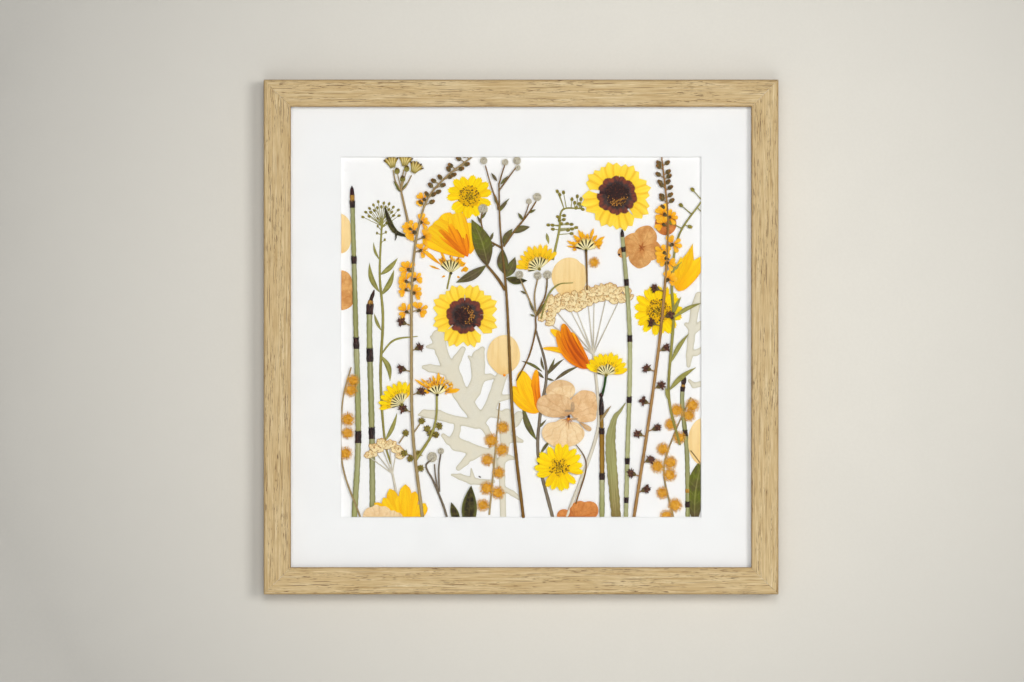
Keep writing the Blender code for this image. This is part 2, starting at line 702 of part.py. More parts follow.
def make_ragged_flowers():
    piece = Specimen("ragged_daisy_upper_left", 0, YELLOW)
    piece.add(fan((-44.3, 40), 10.5, 30, 152, 6))
    piece.petals(((-47, 44), (-61.5, 55), 2.2), ((-47, 43), (-58, 45), 1.6),
                 ((-42, 44), (-34, 45.5), 2.4))
    piece.stem([(-44.2, 41), (-46.5, 30.5)], 1.2, 1.2)
    piece.done()

    piece = Specimen("ragged_daisy_centre", 2, YELLOW)
    piece.add(fan((41, 53.5), 12.0, 25, 152, 6))
    piece.petals(((40, 57), (29, 61), 2.4), ((40, 58), (32, 64.5), 2.4),
                 ((42, 59), (45.5, 68.5), 2.4), ((43, 57), (53, 63), 2.6))
    piece.stem([(41, 55), (41.5, 30)], 1.2, 1.2)
    piece.done()

    piece = Specimen("ragged_daisy_left", 2, ORANGE)
    piece.add(fan((-52, -36.5), 13.0, 32, 150, 6))
    piece.petals(((-56, -32), (-64.5, -26.5), 2.6), ((-48, -31), (-38.5, -32.5), 3.0))
    piece.stem([(-52, -35), (-54, -54), (-64, -74.5), (-72, -88)], 1.4, 1.2)
    piece.buds(2.2, (-51.5, -55.5), (-57.5, -58.5), (-55.5, -61), (-61, -53.5))
    piece.stem([(-55, -58), (-61, -53.5)], 1.0, 1.0)
    piece.stem([(-55, -58), (-51.5, -55.5)], 1.0, 1.0)
    piece.stem([(-64, -74.5), (-72.5, -73)], 1.4, 3.6)
    piece.done()

    piece = Specimen("folded_flower_upper_left", 1, YELLOW)
    piece.petals(((-32, 49), (-49, 80), 13.0), ((-32.5, 48.5), (-39, 78.5), 12.0),
                 ((-33, 49.5), (-59, 70), 10.0), ((-31.5, 49), (-32, 72.5), 8.0),
                 ((-34, 51), (-61.5, 63.5), 6.0))
    piece.done()

    piece = Specimen("folded_flower_right", 2, ORANGE)
    piece.petals(((44.5, -20.5), (26, 9), 9.5), ((41, -17), (18.5, 5), 7.0),
                 ((34, -10), (13.5, -7), 4.5))
    piece.done()

    piece = Specimen("yellow_petals_lower_left", 2, YELLOW)
    piece.petals(((-74, -121), (-72, -92.5), 16.0), ((-76, -121), (-82.5, -95.5), 12.0),
                 ((-78, -121), (-92, -103), 13.0), ((-72, -121), (-62, -103), 10.0))
    piece.done()

    piece = Specimen("yellow_petals_centre", 1, YELLOW)
    piece.petals(((11.5, -46.5), (-7, -29), 9.0), ((12, -47), (0, -21.5), 10.0),
                 ((12.3, -46), (8.5, -20), 6.5))
    piece.done()


def make_leaves_and_petals():
    petal = Specimen("peach_petal_upper", 0, PEACH)
    petal.add(disc((30, 38.3), 11.4, 14, 1.1))
    petal.done()
    petal = Specimen("peach_petal_centre", 1, PEACH)
    petal.add(disc((-11, -10.5), 10.4, 12, 1.12))
    petal.petals(((-11.5, -8), (-11.5, -24.5), 15.0))
    petal.done()
    grass = Specimen("grass_blade", 1, OLIVE)
    grass.add(ribbon([(65.5, -43), (59, -50), (57, -62), (57, -80), (59.5, -116)],
                     (0.6, 2.4, 5.8, 6.8, 5.8)))
    grass.done()
    leaf = Specimen("dark_leaf_bottom", 2, OLIVE)
    leaf.add(blade((-32.5, -134), (-31.5, -93.5), 9.6))
    leaf.done()
    floret = Specimen("hydrangea_floret_right", 0, TAN)
    floret.add(disc((80, 63), 8.6, 12, 1.15))
    floret.add(disc((75.5, 50), 8.6, 12, 1.1))
    floret.add(disc((71, 57), 7.0, 10))
    floret.add(disc((83, 52), 6.0, 10, 1.15))
    floret.done()
    make_pansy()
    make_dusty_miller()


def make_pansy():
    eye = (30, -50)
    piece = Specimen("pansy", 2, TAN)
    for x, y, across, tall in ((25, -36, 9.0, 8.4), (19.5, -42, 8.6, 6.6), (39, -44, 8.6, 10.4),
                               (22.5, -58.5, 8.4, 8.4), (34.5, -60, 7.6, 8.2)):
        piece.add(disc((x, y), across, 12, tall / across))
    piece.buds(4.0, eye)
    piece.done()


def make_dusty_miller():
    """A felted leaf: broad ribs that fork again and again, with round-ended lobes."""
    piece = Specimen("dusty_miller_leaf", 0, SILVER)
    ribs = (
        ([(-11, -116), (-11.5, -90), (-13, -68), (-19, -48), (-28, -28), (-36, -8), (-44, 4)],
         (6.5, 6.5, 7.5, 8.5, 9.5, 10, 6)),
        ([(-40, -2), (-51, -1), (-56, 1)], (12, 10, 7)),
        ([(-30, -26), (-44, -16), (-60, -17)], (8, 9, 6)),
        ([(-22, -40), (-27, -18), (-24, -2), (-20, 3)], (8, 9, 9, 6)),
        ([(-23, -26), (-14, -27)], (9, 5)),
        ([(-18, -50), (-14, -34), (-9, -26)], (8, 9, 6)),
        ([(-16, -40), (-6, -42), (-1, -41)], (7, 7, 5)),
        ([(-20, -49), (-36, -53), (-50, -47), (-63, -46)], (8, 9, 8, 5)),
        ([(-52, -34), (-44, -33), (-26, -31)], (6, 9, 9)),
        ([(-52, -48), (-56, -40), (-50, -33)], (8, 6, 6)),
        ([(-33, -54), (-38, -60), (-50, -66)], (8, 7, 4.5)),
        ([(-14, -64), (-9, -58), (0, -60)], (8, 8, 5)),
        ([(-12.5, -72), (-26, -72), (-38, -66), (-48, -70)], (8, 10, 9, 5)),
        ([(-26, -72), (-34, -79), (-40, -82)], (10, 8, 4.5)),
        ([(-12.5, -92), (-26, -92), (-40, -86)], (6, 8, 5)),
        ([(-12, -60), (-6, -48)], (6, 6)),
        ([(-12, -92), (-6, -98), (0, -101)], (4, 4, 3)),
    )
    for route, widths in ribs:
        piece.add(ribbon(route, widths))
    piece.done()


def make_strawflowers():
    """Papery heads side by side along a bowed band, over stems that meet below."""
    large = Specimen("strawflower_large", 1, STRAW)
    band = [(16, 16), (30, 24), (50, 28.5), (66, 22)]
    meet = (45.5, -11)
    large.buds(5.6, *beside(band, 0.0, 1.0, 8, 0.0), sides=7)
    for head in beside(band, 0.1, 0.85, 4, 0.0):
        large.stem([meet, head], 1.4, 1.4)
    large.stem([meet, (48.5, -41), (47, -64), (26.5, -118)], 1.8, 2.6)
    large.done()

    small = Specimen("strawflower_small", 1, STRAW)
    band = [(-95, -76), (-85, -69.5), (-74, -73)]
    meet = (-81, -86)
    small.buds(4.2, *beside(band, 0.05, 0.95, 5, 0.0), sides=7)
    for head in beside(band, 0.1, 0.9, 3, 0.0):
        small.stem([meet, head], 1.4, 1.4)
    small.stem([meet, (-79, -96), (-77.5, -106)], 1.6, 1.6)
    small.done()


def make_mimosa():
    """Bowed stems with fluffy balls beside them."""
    sprigs = (
        ("mimosa_left", 3, [(-107, -19), (-112, -42), (-112, -80), (-100, -116)],
         5, 0.03, 0.56, (-1,)),
        ("mimosa_centre", 1, [(-13.5, -41.5), (-17, -80), (-20, -112)], 8, 0.18, 0.98, (-1, 1)),
        ("mimosa_right", 1, [(107, -38), (97, -60), (90, -84), (97, -116)],
         12, 0.02, 0.96, (-1, 1)),
    )
    for name, layer, stem, count, first, last, sides in sprigs:
        piece = Specimen(name, layer, MIMOSA)
        piece.stem(stem, 1.2, 1.4)
        piece.buds(MIMOSA_BALL, *beside(stem, first, last, count, 3.8, sides), sides=7)
        piece.done()


def main():
    clear_scene()
    make_rails()
    make_sheets()
    make_tabs()
    make_hanger()
    make_horsetails()
    make_sprigs()
    make_button_sprig()
    make_agrimony()
    make_flower_heads()
    make_ragged_flowers()
    make_leaves_and_petals()
    make_strawflowers()
    make_mimosa()


main()
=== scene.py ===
"""The looks of a square oak frame that holds pressed flowers and stems behind glass.

Layouts are in millimetres from the middle of the mat's window: x to the right, z up, and a height
above the specimen's own layer towards the glass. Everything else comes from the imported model.
"""
import math

import bmesh
import bpy
import numpy as np
from mathutils import Matrix, Vector


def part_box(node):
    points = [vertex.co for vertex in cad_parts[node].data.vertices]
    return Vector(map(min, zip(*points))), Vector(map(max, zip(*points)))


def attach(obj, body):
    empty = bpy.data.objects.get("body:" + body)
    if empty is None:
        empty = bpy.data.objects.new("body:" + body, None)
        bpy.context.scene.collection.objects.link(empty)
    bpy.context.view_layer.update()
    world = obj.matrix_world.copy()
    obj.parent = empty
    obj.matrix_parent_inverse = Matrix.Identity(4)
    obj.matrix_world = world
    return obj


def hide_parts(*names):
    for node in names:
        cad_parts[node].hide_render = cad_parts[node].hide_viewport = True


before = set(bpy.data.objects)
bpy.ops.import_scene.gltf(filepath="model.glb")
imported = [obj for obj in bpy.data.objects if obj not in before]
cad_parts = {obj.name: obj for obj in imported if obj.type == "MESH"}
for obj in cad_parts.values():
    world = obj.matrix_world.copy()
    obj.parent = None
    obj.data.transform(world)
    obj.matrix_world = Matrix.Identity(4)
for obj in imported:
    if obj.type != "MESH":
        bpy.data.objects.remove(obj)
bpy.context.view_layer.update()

MM = 0.001
ROOT = "root"


# ---------------------------------------------------------------- measures taken from the frame

def box_mm(node):
    low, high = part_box(node)
    return [c / MM for c in low], [c / MM for c in high]


RAIL_LOW, RAIL_HIGH = box_mm("top_rail")
MAT_LOW, MAT_HIGH = box_mm("window_mat")
GLASS_LOW, GLASS_HIGH = box_mm("glazing")
BOARD_LOW, BOARD_HIGH = box_mm("backing_board")

OUTER = RAIL_HIGH[0] - RAIL_LOW[0]
FACE = RAIL_HIGH[2] - RAIL_LOW[2]
DEPTH = RAIL_HIGH[1] - RAIL_LOW[1]
CENTRE_Z = (MAT_LOW[2] + MAT_HIGH[2]) / 2
REBATE_WALL = (MAT_HIGH[0] - MAT_LOW[0]) / 2 + 0.5
LIP = GLASS_LOW[1] - RAIL_LOW[1] - 0.3
WINDOW_HALF = 113.2       # specimens end here, just inside the window's edge


# ---------------------------------------------------------------- colours and shader nodes

def linear(colour):
    """An 8-bit display colour as scene-linear RGBA."""
    out = []
    for c in colour:
        c = c / 255
        out.append(c / 12.92 if c <= 0.04045 else ((c + 0.055) / 1.055) ** 2.4)
    return (*out, 1.0)


class Finish:
    """A material and short ways to add shader nodes to it."""

    def __init__(self, name, roughness=0.7):
        self.material = bpy.data.materials.new(name)
        self.material.use_nodes = True
        self.tree = self.material.node_tree
        self.shader = self.tree.nodes["Principled BSDF"]
        self.shader.inputs["Roughness"].default_value = roughness
        self.shader.inputs["Specular IOR Level"].default_value = 0.3

    def put(self, socket, value):
        if isinstance(value, bpy.types.NodeSocket):
            self.tree.links.new(value, socket)
        elif value is not None:
            socket.default_value = value

    def node(self, kind, **settings):
        made = self.tree.nodes.new("ShaderNode" + kind)
        for key, value in settings.items():
            setattr(made, key, value)
        return made

    def math(self, operation, a, b=0.0):
        made = self.node("Math", operation=operation)
        self.put(made.inputs[0], a)
        self.put(made.inputs[1], b)
        return made.outputs[0]

    def mix(self, amount, a, b):
        made = self.node("Mix", data_type="RGBA")
        self.put(made.inputs[0], amount)
        self.put(made.inputs[6], a)
        self.put(made.inputs[7], b)
        return made.outputs[2]

    def ramp(self, factor, stops):
        made = self.node("ValToRGB")
        elements = made.color_ramp.elements
        while len(elements) < len(stops):
            elements.new(0.5)
        for element, (place, colour) in zip(elements, stops):
            element.position = place
            element.color = linear(colour)
        self.put(made.inputs[0], factor)
        return made.outputs[0]

    def span(self, value, low, high, out_low=0.0, out_high=1.0):
        """The value mapped from low..high to out_low..out_high, held at both ends."""
        made = self.node("MapRange", clamp=True)
        for socket, number in zip(made.inputs[1:5], (low, high, out_low, out_high)):
            socket.default_value = number
        self.put(made.inputs[0], value)
        return made.outputs[0]

    def uv(self, name, scale=(1, 1)):
        source = self.node("UVMap", uv_map=name)
        mapping = self.node("Mapping")
        mapping.inputs["Scale"].default_value = (*scale, 1)
        self.put(mapping.inputs[0], source.outputs[0])
        return mapping.outputs[0]

    def axes(self, vector):
        split = self.node("SeparateXYZ")
        self.put(split.inputs[0], vector)
        return split.outputs

    def place(self, scale=1.0):
        """Object coordinates in millimetres times a scale."""
        source = self.node("TexCoord")
        mapping = self.node("Mapping")
        mapping.inputs["Scale"].default_value = (scale / MM,) * 3
        self.put(mapping.inputs[0], source.outputs["Object"])
        return mapping.outputs[0]

    def noise(self, vector, scale=1.0, detail=2.0, roughness=0.5):
        made = self.node("TexNoise")
        self.put(made.inputs["Vector"], vector)
        made.inputs["Scale"].default_value = scale
        made.inputs["Detail"].default_value = detail
        made.inputs["Roughness"].default_value = roughness
        return made.outputs["Fac"]

    def attribute(self, name):
        return self.node("Attribute", attribute_name=name).outputs["Fac"]

    def colour(self, value):
        self.put(self.shader.inputs["Base Color"], value)

    def tinted_colour(self, value, darkest, lightest):
        """A base colour whose brightness follows each shape's own tint."""
        made = self.node("HueSaturation")
        self.put(made.inputs["Color"], value)
        self.put(made.inputs["Value"], self.span(self.attribute("tint"), 0.0, 1.0, darkest,
                                                 lightest))
        self.colour(made.outputs[0])

    def clear_where(self, value):
        """Lets light straight through where the value is one."""
        mixer = self.node("MixShader")
        self.put(mixer.inputs[0], value)
        self.put(mixer.inputs[1], self.shader.outputs[0])
        self.put(mixer.inputs[2], self.node("BsdfTransparent").outputs[0])
        self.put(self.tree.nodes["Material Output"].inputs["Surface"], mixer.outputs[0])

    def height(self, value, depth_mm, strength=1.0):
        made = self.node("Bump")
        made.inputs["Strength"].default_value = strength
        made.inputs["Distance"].default_value = depth_mm * MM
        self.put(made.inputs["Height"], value)
        self.put(self.shader.inputs["Normal"], made.outputs[0])


# ---------------------------------------------------------------- meshes

SHARP_TISSUE = math.radians(58)
SHARP_WOOD = math.radians(35)
WELD = 1e-7                 # metres


def link_object(name, data):
    obj = bpy.data.objects.new(name, data)
    bpy.context.scene.collection.objects.link(obj)
    return obj


FINISHES = {}               # the finishes of plant tissue, by a short name


class Piece:
    """A mesh in the window's layout, gathered from closed shapes, with two UV maps and a tint."""

    def __init__(self, name, nodes, slot, back=None):
        self.name = name
        self.nodes = nodes
        self.slot = slot
        if back is None:
            back = -box_mm(self.nodes[0])[1][1]
        self.back = back
        self.points, self.faces, self.uvs, self.metric = [], [], [], []
        self.tints, self.slots, self.materials = [], [], []

    def material_index(self, finish):
        material = FINISHES[finish].material
        if material not in self.materials:
            self.materials.append(material)
        return self.materials.index(material)

    def grid(self, points, uv, metric, finish, tint=0.5, wrap=False):
        """A sheet of rows x columns points. With wrap, its last column joins its first."""
        rows, columns = points.shape[:2]
        start = len(self.points)
        self.points.extend(points.reshape(-1, 3))
        self.uvs.extend(uv.reshape(-1, 2))
        self.metric.extend(metric.reshape(-1, 2))
        self.tints.extend([tint] * (rows * columns))
        index = self.material_index(finish)
        for r in range(rows - 1):
            for c in range(columns if wrap else columns - 1):
                d = (c + 1) % columns
                face = [start + r * columns + c, start + r * columns + d,
                        start + (r + 1) * columns + d, start + (r + 1) * columns + c]
                self.faces.append(face)
                self.slots.append(index)
        return start

    def cap(self, start, count):
        """Closes one end of a wrapped grid."""
        self.faces.append([start + i for i in range(count)])
        self.slots.append(self.slots[-1])

    def hem(self, start, columns):
        """Closes one end of a doubled sheet, front edge to back edge."""
        last = start + 2 * columns - 1
        for i in range(columns - 1):
            self.faces.append([start + i, start + i + 1, last - i - 1, last - i])
            self.slots.append(self.slots[-1])

    def add(self, points, faces, uv, metric, finish, tints):
        """A ready closed mesh."""
        start = len(self.points)
        self.points.extend(points)
        self.uvs.extend(uv)
        self.metric.extend(metric)
        self.tints.extend(tints)
        self.faces.extend([[start + n for n in face] for face in faces])
        self.slots.extend([self.material_index(finish)] * len(faces))

    def build(self, clip=False):
        mesh = bpy.data.meshes.new(self.name)
        world = [(x * MM, -(self.back + h) * MM, (CENTRE_Z + z) * MM) for x, h, z in self.points]
        mesh.from_pydata(world, [], self.faces)
        for name, values in (("uv", self.uvs), ("metric", self.metric)):
            layer = mesh.uv_layers.new(name=name)
            flat = np.array(values, np.float32)
            loops = np.empty(len(mesh.loops), np.int32)
            mesh.loops.foreach_get("vertex_index", loops)
            layer.data.foreach_set("uv", flat[loops].ravel())
        tint = mesh.attributes.new("tint", "FLOAT", "POINT")
        tint.data.foreach_set("value", np.array(self.tints, np.float32))
        for made in self.materials:
            mesh.materials.append(made)
        mesh.polygons.foreach_set("material_index", np.array(self.slots, np.int32))
        shape = bmesh.new()
        shape.from_mesh(mesh)
        bmesh.ops.remove_doubles(shape, verts=shape.verts, dist=WELD)
        if clip:
            trim(shape)
        bmesh.ops.recalc_face_normals(shape, faces=shape.faces)
        shape.to_mesh(mesh)
        shape.free()
        mesh.shade_smooth()
        mesh.set_sharp_from_angle(angle=SHARP_TISSUE)
        obj = link_object(self.name, mesh)
        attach(obj, ROOT)
        if self.nodes:
            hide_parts(*self.nodes)


def trim(shape):
    """Cuts a mesh off at the window's edges and closes the cuts."""
    reach = WINDOW_HALF * MM
    middle = Vector((0, 0, CENTRE_Z * MM))
    for normal in (Vector((1, 0, 0)), Vector((-1, 0, 0)), Vector((0, 0, 1)), Vector((0, 0, -1))):
        geometry = shape.verts[:] + shape.edges[:] + shape.faces[:]
        bmesh.ops.bisect_plane(shape, geom=geometry, plane_co=middle + normal * reach,
                               plane_no=normal, clear_outer=True, dist=WELD)
        rim = [edge for edge in shape.edges if edge.is_boundary]
        if rim:
            bmesh.ops.holes_fill(shape, edges=rim, sides=0)


def plain_object(name, mesh, finish, nodes):
    """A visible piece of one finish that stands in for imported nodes."""
    obj = link_object(name, mesh)
    mesh.materials.append(finish.material)
    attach(obj, ROOT)
    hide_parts(*nodes)


def dress(node, finish):
    """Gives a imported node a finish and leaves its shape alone."""
    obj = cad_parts[node]
    obj.data.materials.clear()
    obj.data.materials.append(finish.material)


# ---------------------------------------------------------------- wall, floor, light and camera

CAMERA_DISTANCE = 3.0
PICTURE_WIDTH = 0.6452      # what the picture spans, left to right, in the plane of the window
SENSOR = 0.036
CAMERA_ASIDE = Vector((-0.0057, 0.0, -0.0025))
WALL_GAP = 0.0004
WALL_HOLE = 0.314           # a hole behind the frame lets light reach its back
WALL_HALF = 4.0
# Where the wall's painted light is brightest: the paint darkens away from here as painted light falloff.
WALL_PAINTED_LIGHT_CENTRE = (0.06, -0.10)
WALL_PAINTED_FALLOFF = 0.17            # square metres from there to where the painted light falloff is darkest
FLOOR_Z = -1.5
AMBIENT = 0.15
REFLECTED = 0.2            # how much of the room a reflection shows
BACKDROP = 0.80


def make_camera():
    data = bpy.data.cameras.new("camera")
    data.lens = SENSOR * 1000 * CAMERA_DISTANCE / PICTURE_WIDTH
    data.sensor_width = SENSOR * 1000
    data.clip_end = 20
    camera = link_object("camera", data)
    window = Vector((0, MAT_HIGH[1] * MM, CENTRE_Z * MM))
    camera.location = window + CAMERA_ASIDE + Vector((0, -CAMERA_DISTANCE, 0))
    camera.rotation_euler = (math.pi / 2, 0, 0)
    bpy.context.scene.camera = camera


def wall_finish():
    """Pale matt paint with a painted light falloff: a little darker away from one place on the wall,
    standing in for light that falls off towards the corners. The wall shows from the front only,
    so that it doesn't hide the frame's back."""
    made = Finish("wall_paint_with_painted_falloff", roughness=0.9)
    place = made.place()
    grain = made.noise(place, 0.6, 3.0)
    cloud = made.noise(place, 0.02, 2.0)
    split = made.axes(made.place(MM))
    away = made.math("ADD", made.math("POWER", made.math("ADD", split[0], -WALL_PAINTED_LIGHT_CENTRE[0]), 2.0),
                     made.math("POWER", made.math("ADD", split[2], -WALL_PAINTED_LIGHT_CENTRE[1]), 2.0))
    # Painted light falloff: the paint darkens outwards from its palest place, standing in for the light on
    # the wall.
    base = made.ramp(made.span(away, 0.0, WALL_PAINTED_FALLOFF), [(0.0, (228, 225, 217)), (1.0, (182, 180, 175))])
    base = made.mix(made.span(cloud, 0.35, 0.65, 0.0, 0.10), base, linear((205, 203, 197)))
    base = made.mix(made.span(grain, 0.3, 0.7, 0.0, 0.10), base, linear((200, 197, 188)))
    made.colour(base)
    made.height(grain, 0.05, 0.5)
    made.clear_where(made.node("NewGeometry").outputs["Backfacing"])
    return made


def make_wall():
    """A big sheet with a square hole hidden behind the frame."""
    hole = WALL_HOLE / 2
    corners = [(-1, -1), (1, -1), (1, 1), (-1, 1)]
    points = [(x * hole, WALL_GAP, CENTRE_Z * MM + z * hole) for x, z in corners]
    points += [(x * WALL_HALF, WALL_GAP, CENTRE_Z * MM + z * WALL_HALF) for x, z in corners]
    faces = [[(i + 1) % 4, i, i + 4, (i + 1) % 4 + 4] for i in range(4)]
    mesh = bpy.data.meshes.new("wall")
    mesh.from_pydata(points, [], faces)
    for face in mesh.polygons:
        if face.normal.y > 0:
            face.flip()
    mesh.materials.append(wall_finish().material)
    wall = link_object("wall", mesh)


def make_floor():
    made = Finish("floor_paint", roughness=0.8)
    grain = made.noise(made.place(), 0.05, 3.0)
    made.colour(made.ramp(grain, [(0.3, (214, 212, 206)), (0.7, (222, 220, 214))]))
    mesh = bpy.data.meshes.new("floor")
    shape = bmesh.new()
    bmesh.ops.create_grid(shape, x_segments=1, y_segments=1, size=WALL_HALF)
    bmesh.ops.translate(shape, verts=shape.verts, vec=(0, 0, FLOOR_Z))
    shape.to_mesh(mesh)
    shape.free()
    mesh.materials.append(made.material)
    floor = link_object("floor", mesh)


def area_light(name, place, size, power, colour):
    data = bpy.data.lights.new(name, "AREA")
    data.shape = "SQUARE"
    data.size = size
    data.energy = power
    data.color = colour
    light = link_object(name, data)
    target = Vector((0, 0, CENTRE_Z * MM))
    light.location = place
    light.rotation_euler = (target - Vector(place)).to_track_quat("-Z", "Y").to_euler()


def make_world():
    """Weak light from all round, a darker room in reflections, and a pale backdrop where the
    camera sees past the wall."""
    world = bpy.data.worlds.new("room")
    world.use_nodes = True
    tree = world.node_tree
    backdrop = tree.nodes["Background"]
    backdrop.inputs["Color"].default_value = (0.98, 0.99, 1.0, 1.0)
    path = tree.nodes.new("ShaderNodeLightPath")
    strength = tree.nodes.new("ShaderNodeMapRange")
    strength.inputs["To Min"].default_value = AMBIENT
    strength.inputs["To Max"].default_value = BACKDROP
    tree.links.new(path.outputs["Is Camera Ray"], strength.inputs["Value"])
    dimmer = tree.nodes.new("ShaderNodeMapRange")
    dimmer.inputs["To Min"].default_value = 1.0
    dimmer.inputs["To Max"].default_value = REFLECTED
    tree.links.new(path.outputs["Is Glossy Ray"], dimmer.inputs["Value"])
    product = tree.nodes.new("ShaderNodeMath")
    product.operation = "MULTIPLY"
    tree.links.new(strength.outputs[0], product.inputs[0])
    tree.links.new(dimmer.outputs[0], product.inputs[1])
    tree.links.new(product.outputs[0], backdrop.inputs["Strength"])
    bpy.context.scene.world = world


def make_lights():
    make_world()
    area_light("window_light", (1.35, -2.8, 0.15), 0.9, 37.0, (1.0, 0.985, 0.95))
    area_light("upper_light", (0.1, -3.3, 0.74), 0.8, 31.0, (1.0, 0.995, 0.985))
    area_light("left_light", (-0.82, -3.3, -0.05), 0.8, 11.5, (1.0, 0.995, 0.99))
    area_light("lower_light", (0.0, -3.2, -1.05), 0.9, 14.0, (1.0, 0.99, 0.97))
    area_light("rear_light", (-0.9, 1.9, 0.5), 1.2, 30.0, (1.0, 0.99, 0.97))
    view = bpy.context.scene.view_settings
    view.view_transform = "Standard"
    view.look = "None"


# ---------------------------------------------------------------- moulding

def oak_finish():
    """Pale limed oak: fine streaks along the rail, short dark pores in drifts, golden edges."""
    made = Finish("pale_oak", roughness=0.62)
    fine = made.noise(made.uv("metric", (0.10, 3.2)), 1.0, 3.0, 0.6)
    streak = made.noise(made.uv("metric", (0.03, 0.9)), 1.0, 3.0, 0.55)
    broad = made.noise(made.uv("metric", (0.012, 0.16)), 1.0, 2.0)
    pores = made.noise(made.uv("metric", (0.16, 2.1)), 1.0, 2.0, 0.6)
    drift = made.noise(made.uv("metric", (0.022, 0.30)), 1.0, 2.0)
    cracks = made.noise(made.uv("metric", (0.030, 1.5)), 1.0, 1.0)
    base = made.ramp(streak, [(0.32, (184, 156, 106)), (0.47, (210, 187, 141)),
                              (0.60, (220, 200, 158)), (0.74, (232, 216, 178))])
    base = made.mix(made.span(broad, 0.35, 0.65, 0.0, 0.45), base, linear((198, 170, 122)))
    base = made.mix(made.span(fine, 0.35, 0.62, 0.62, 0.0), base, linear((168, 136, 88)))
    # Darker golden-brown by each point's edge value: on the rounds, the sides, the lip's inner wall and
    # the back.
    edge = made.attribute("tint")
    base = made.mix(made.math("MULTIPLY", edge, 0.75), base, linear((158, 122, 68)))
    dark = made.math("MULTIPLY", made.span(pores, 0.575, 0.63), made.span(drift, 0.44, 0.56))
    crack = made.math("MULTIPLY", made.span(cracks, 0.665, 0.70), 0.9)
    dark = made.math("MAXIMUM", dark, crack)
    base = made.mix(made.math("MULTIPLY", dark, 0.85), base, linear((104, 76, 50)))
    made.colour(base)
    relief = made.math("SUBTRACT", made.math("MULTIPLY", fine, 0.4), dark)
    made.height(relief, 0.12, 0.7)
    return made


def round_corner(centre, radius, start, end, steps=5):
    turns = [math.radians(start + (end - start) * i / steps) for i in range(steps + 1)]
    return [(centre[0] + radius * math.cos(a), centre[1] + radius * math.sin(a)) for a in turns]


def rail_profile():
    """Across the rail: inward from the outer edge, and forward from the wall, with an edge value
    for each point that darkens the wood towards its rounds, sides, lip and back, and dents its
    front edges."""
    back = 0.6
    outer_round, sight_round = 1.5, 0.9
    rebate = OUTER / 2 - REBATE_WALL
    points = [(p, 1.0) for p in round_corner((back, back), back, 225, 180, 2)]
    points += [((0.0, DEPTH * part), 0.6) for part in (0.25, 0.5, 0.75)]
    turns = round_corner((outer_round, DEPTH - outer_round), outer_round, 180, 90)
    points += [(p, 1.0 - 0.2 * i) for i, p in enumerate(turns)]
    face = FACE - sight_round
    face_steps = 9
    for i in range(1, face_steps):
        across = outer_round + (face - outer_round) * i / face_steps
        points.append(((across, DEPTH), 0.0))
    turns = round_corner((face, DEPTH - sight_round), sight_round, 90, 0)
    points += [(p, 0.2 + 0.16 * i) for i, p in enumerate(turns)]
    points += [((FACE, DEPTH - LIP), 1.0), ((rebate, DEPTH - LIP), 1.0), ((rebate, 0.0), 0.8),
               ((back, 0.0), 0.8)]
    return points


def make_rail(name, quarter, finish, rng):
    """One mitred length, built as the top rail and turned clockwise by quarter turns."""
    profile = rail_profile()
    count = 90
    mitre_gap = 0.06
    start_v = rng.uniform(0, 400)
    start_u = rng.uniform(0, 4000)
    rows, uvs, tints = [], [], []
    run = 0.0
    waves = rng.uniform(0, 2 * math.pi, 6)
    for k, ((p, q), edge_value) in enumerate(profile):
        if k:
            run += math.dist((p, q), profile[k - 1][0])
        half = OUTER / 2 - p - mitre_gap
        row, uv_row = [], []
        for i in range(count + 1):
            along = -half + 2 * half * i / count
            dent = 0.0
            if 0.2 < edge_value and q > DEPTH / 2:
                dent = sum(math.sin(along * (0.05 + 0.09 * j) + waves[j]) for j in range(6)) / 6
                dent = 0.10 * max(dent, 0) * edge_value
            row.append((along, q - dent, OUTER / 2 - p - dent))
            uv_row.append((start_u + along, start_v + run))
        rows.append(row)
        uvs.append(uv_row)
        tints.append(edge_value)
    turn = Matrix.Rotation(quarter * math.pi / 2, 4, "Y")
    middle = Vector((0, 0, CENTRE_Z * MM))
    points = []
    for row in rows:
        for along, q, up in row:
            points.append(middle + turn @ Vector((along * MM, -q * MM, up * MM)))
    width = count + 1
    total = len(profile)
    faces = []
    for k in range(total):
        after = (k + 1) % total
        for i in range(count):
            faces.append([k * width + i, k * width + i + 1, after * width + i + 1,
                          after * width + i])
    for end in (0, count):
        faces.append([k * width + end for k in range(total)])
    mesh = bpy.data.meshes.new(name)
    mesh.from_pydata(points, [], faces)
    layer = mesh.uv_layers.new(name="metric")
    flat = [pair for row in uvs for pair in row]
    for loop in mesh.loops:
        layer.data[loop.index].uv = flat[loop.vertex_index]
    edge_value = mesh.attributes.new("tint", "FLOAT", "POINT")
    for i in range(len(points)):
        edge_value.data[i].value = tints[i // width]
    shape = bmesh.new()
    shape.from_mesh(mesh)
    bmesh.ops.recalc_face_normals(shape, faces=shape.faces)
    shape.to_mesh(mesh)
    shape.free()
    mesh.shade_smooth()
    mesh.set_sharp_from_angle(angle=SHARP_WOOD)
    plain_object("oak_" + name, mesh, finish, [name])


def make_moulding():
    finish = oak_finish()
    rng = np.random.default_rng(11)
    for quarter, name in enumerate(("top_rail", "right_rail", "bottom_rail", "left_rail")):
        make_rail(name, quarter, finish, rng)


# ---------------------------------------------------------------- glass, mat, card and back

def glass_finish():
    made = Finish("picture_glass", roughness=0.0)
    made.shader.inputs["Transmission Weight"].default_value = 1.0
    made.shader.inputs["IOR"].default_value = 1.45
    made.shader.inputs["Specular IOR Level"].default_value = 0.5
    made.shader.inputs["Base Color"].default_value = (0.995, 1.0, 0.995, 1.0)
    path = made.node("LightPath")
    lets = made.math("MAXIMUM", path.outputs["Is Shadow Ray"], path.outputs["Is Diffuse Ray"])
    made.clear_where(lets)
    return made


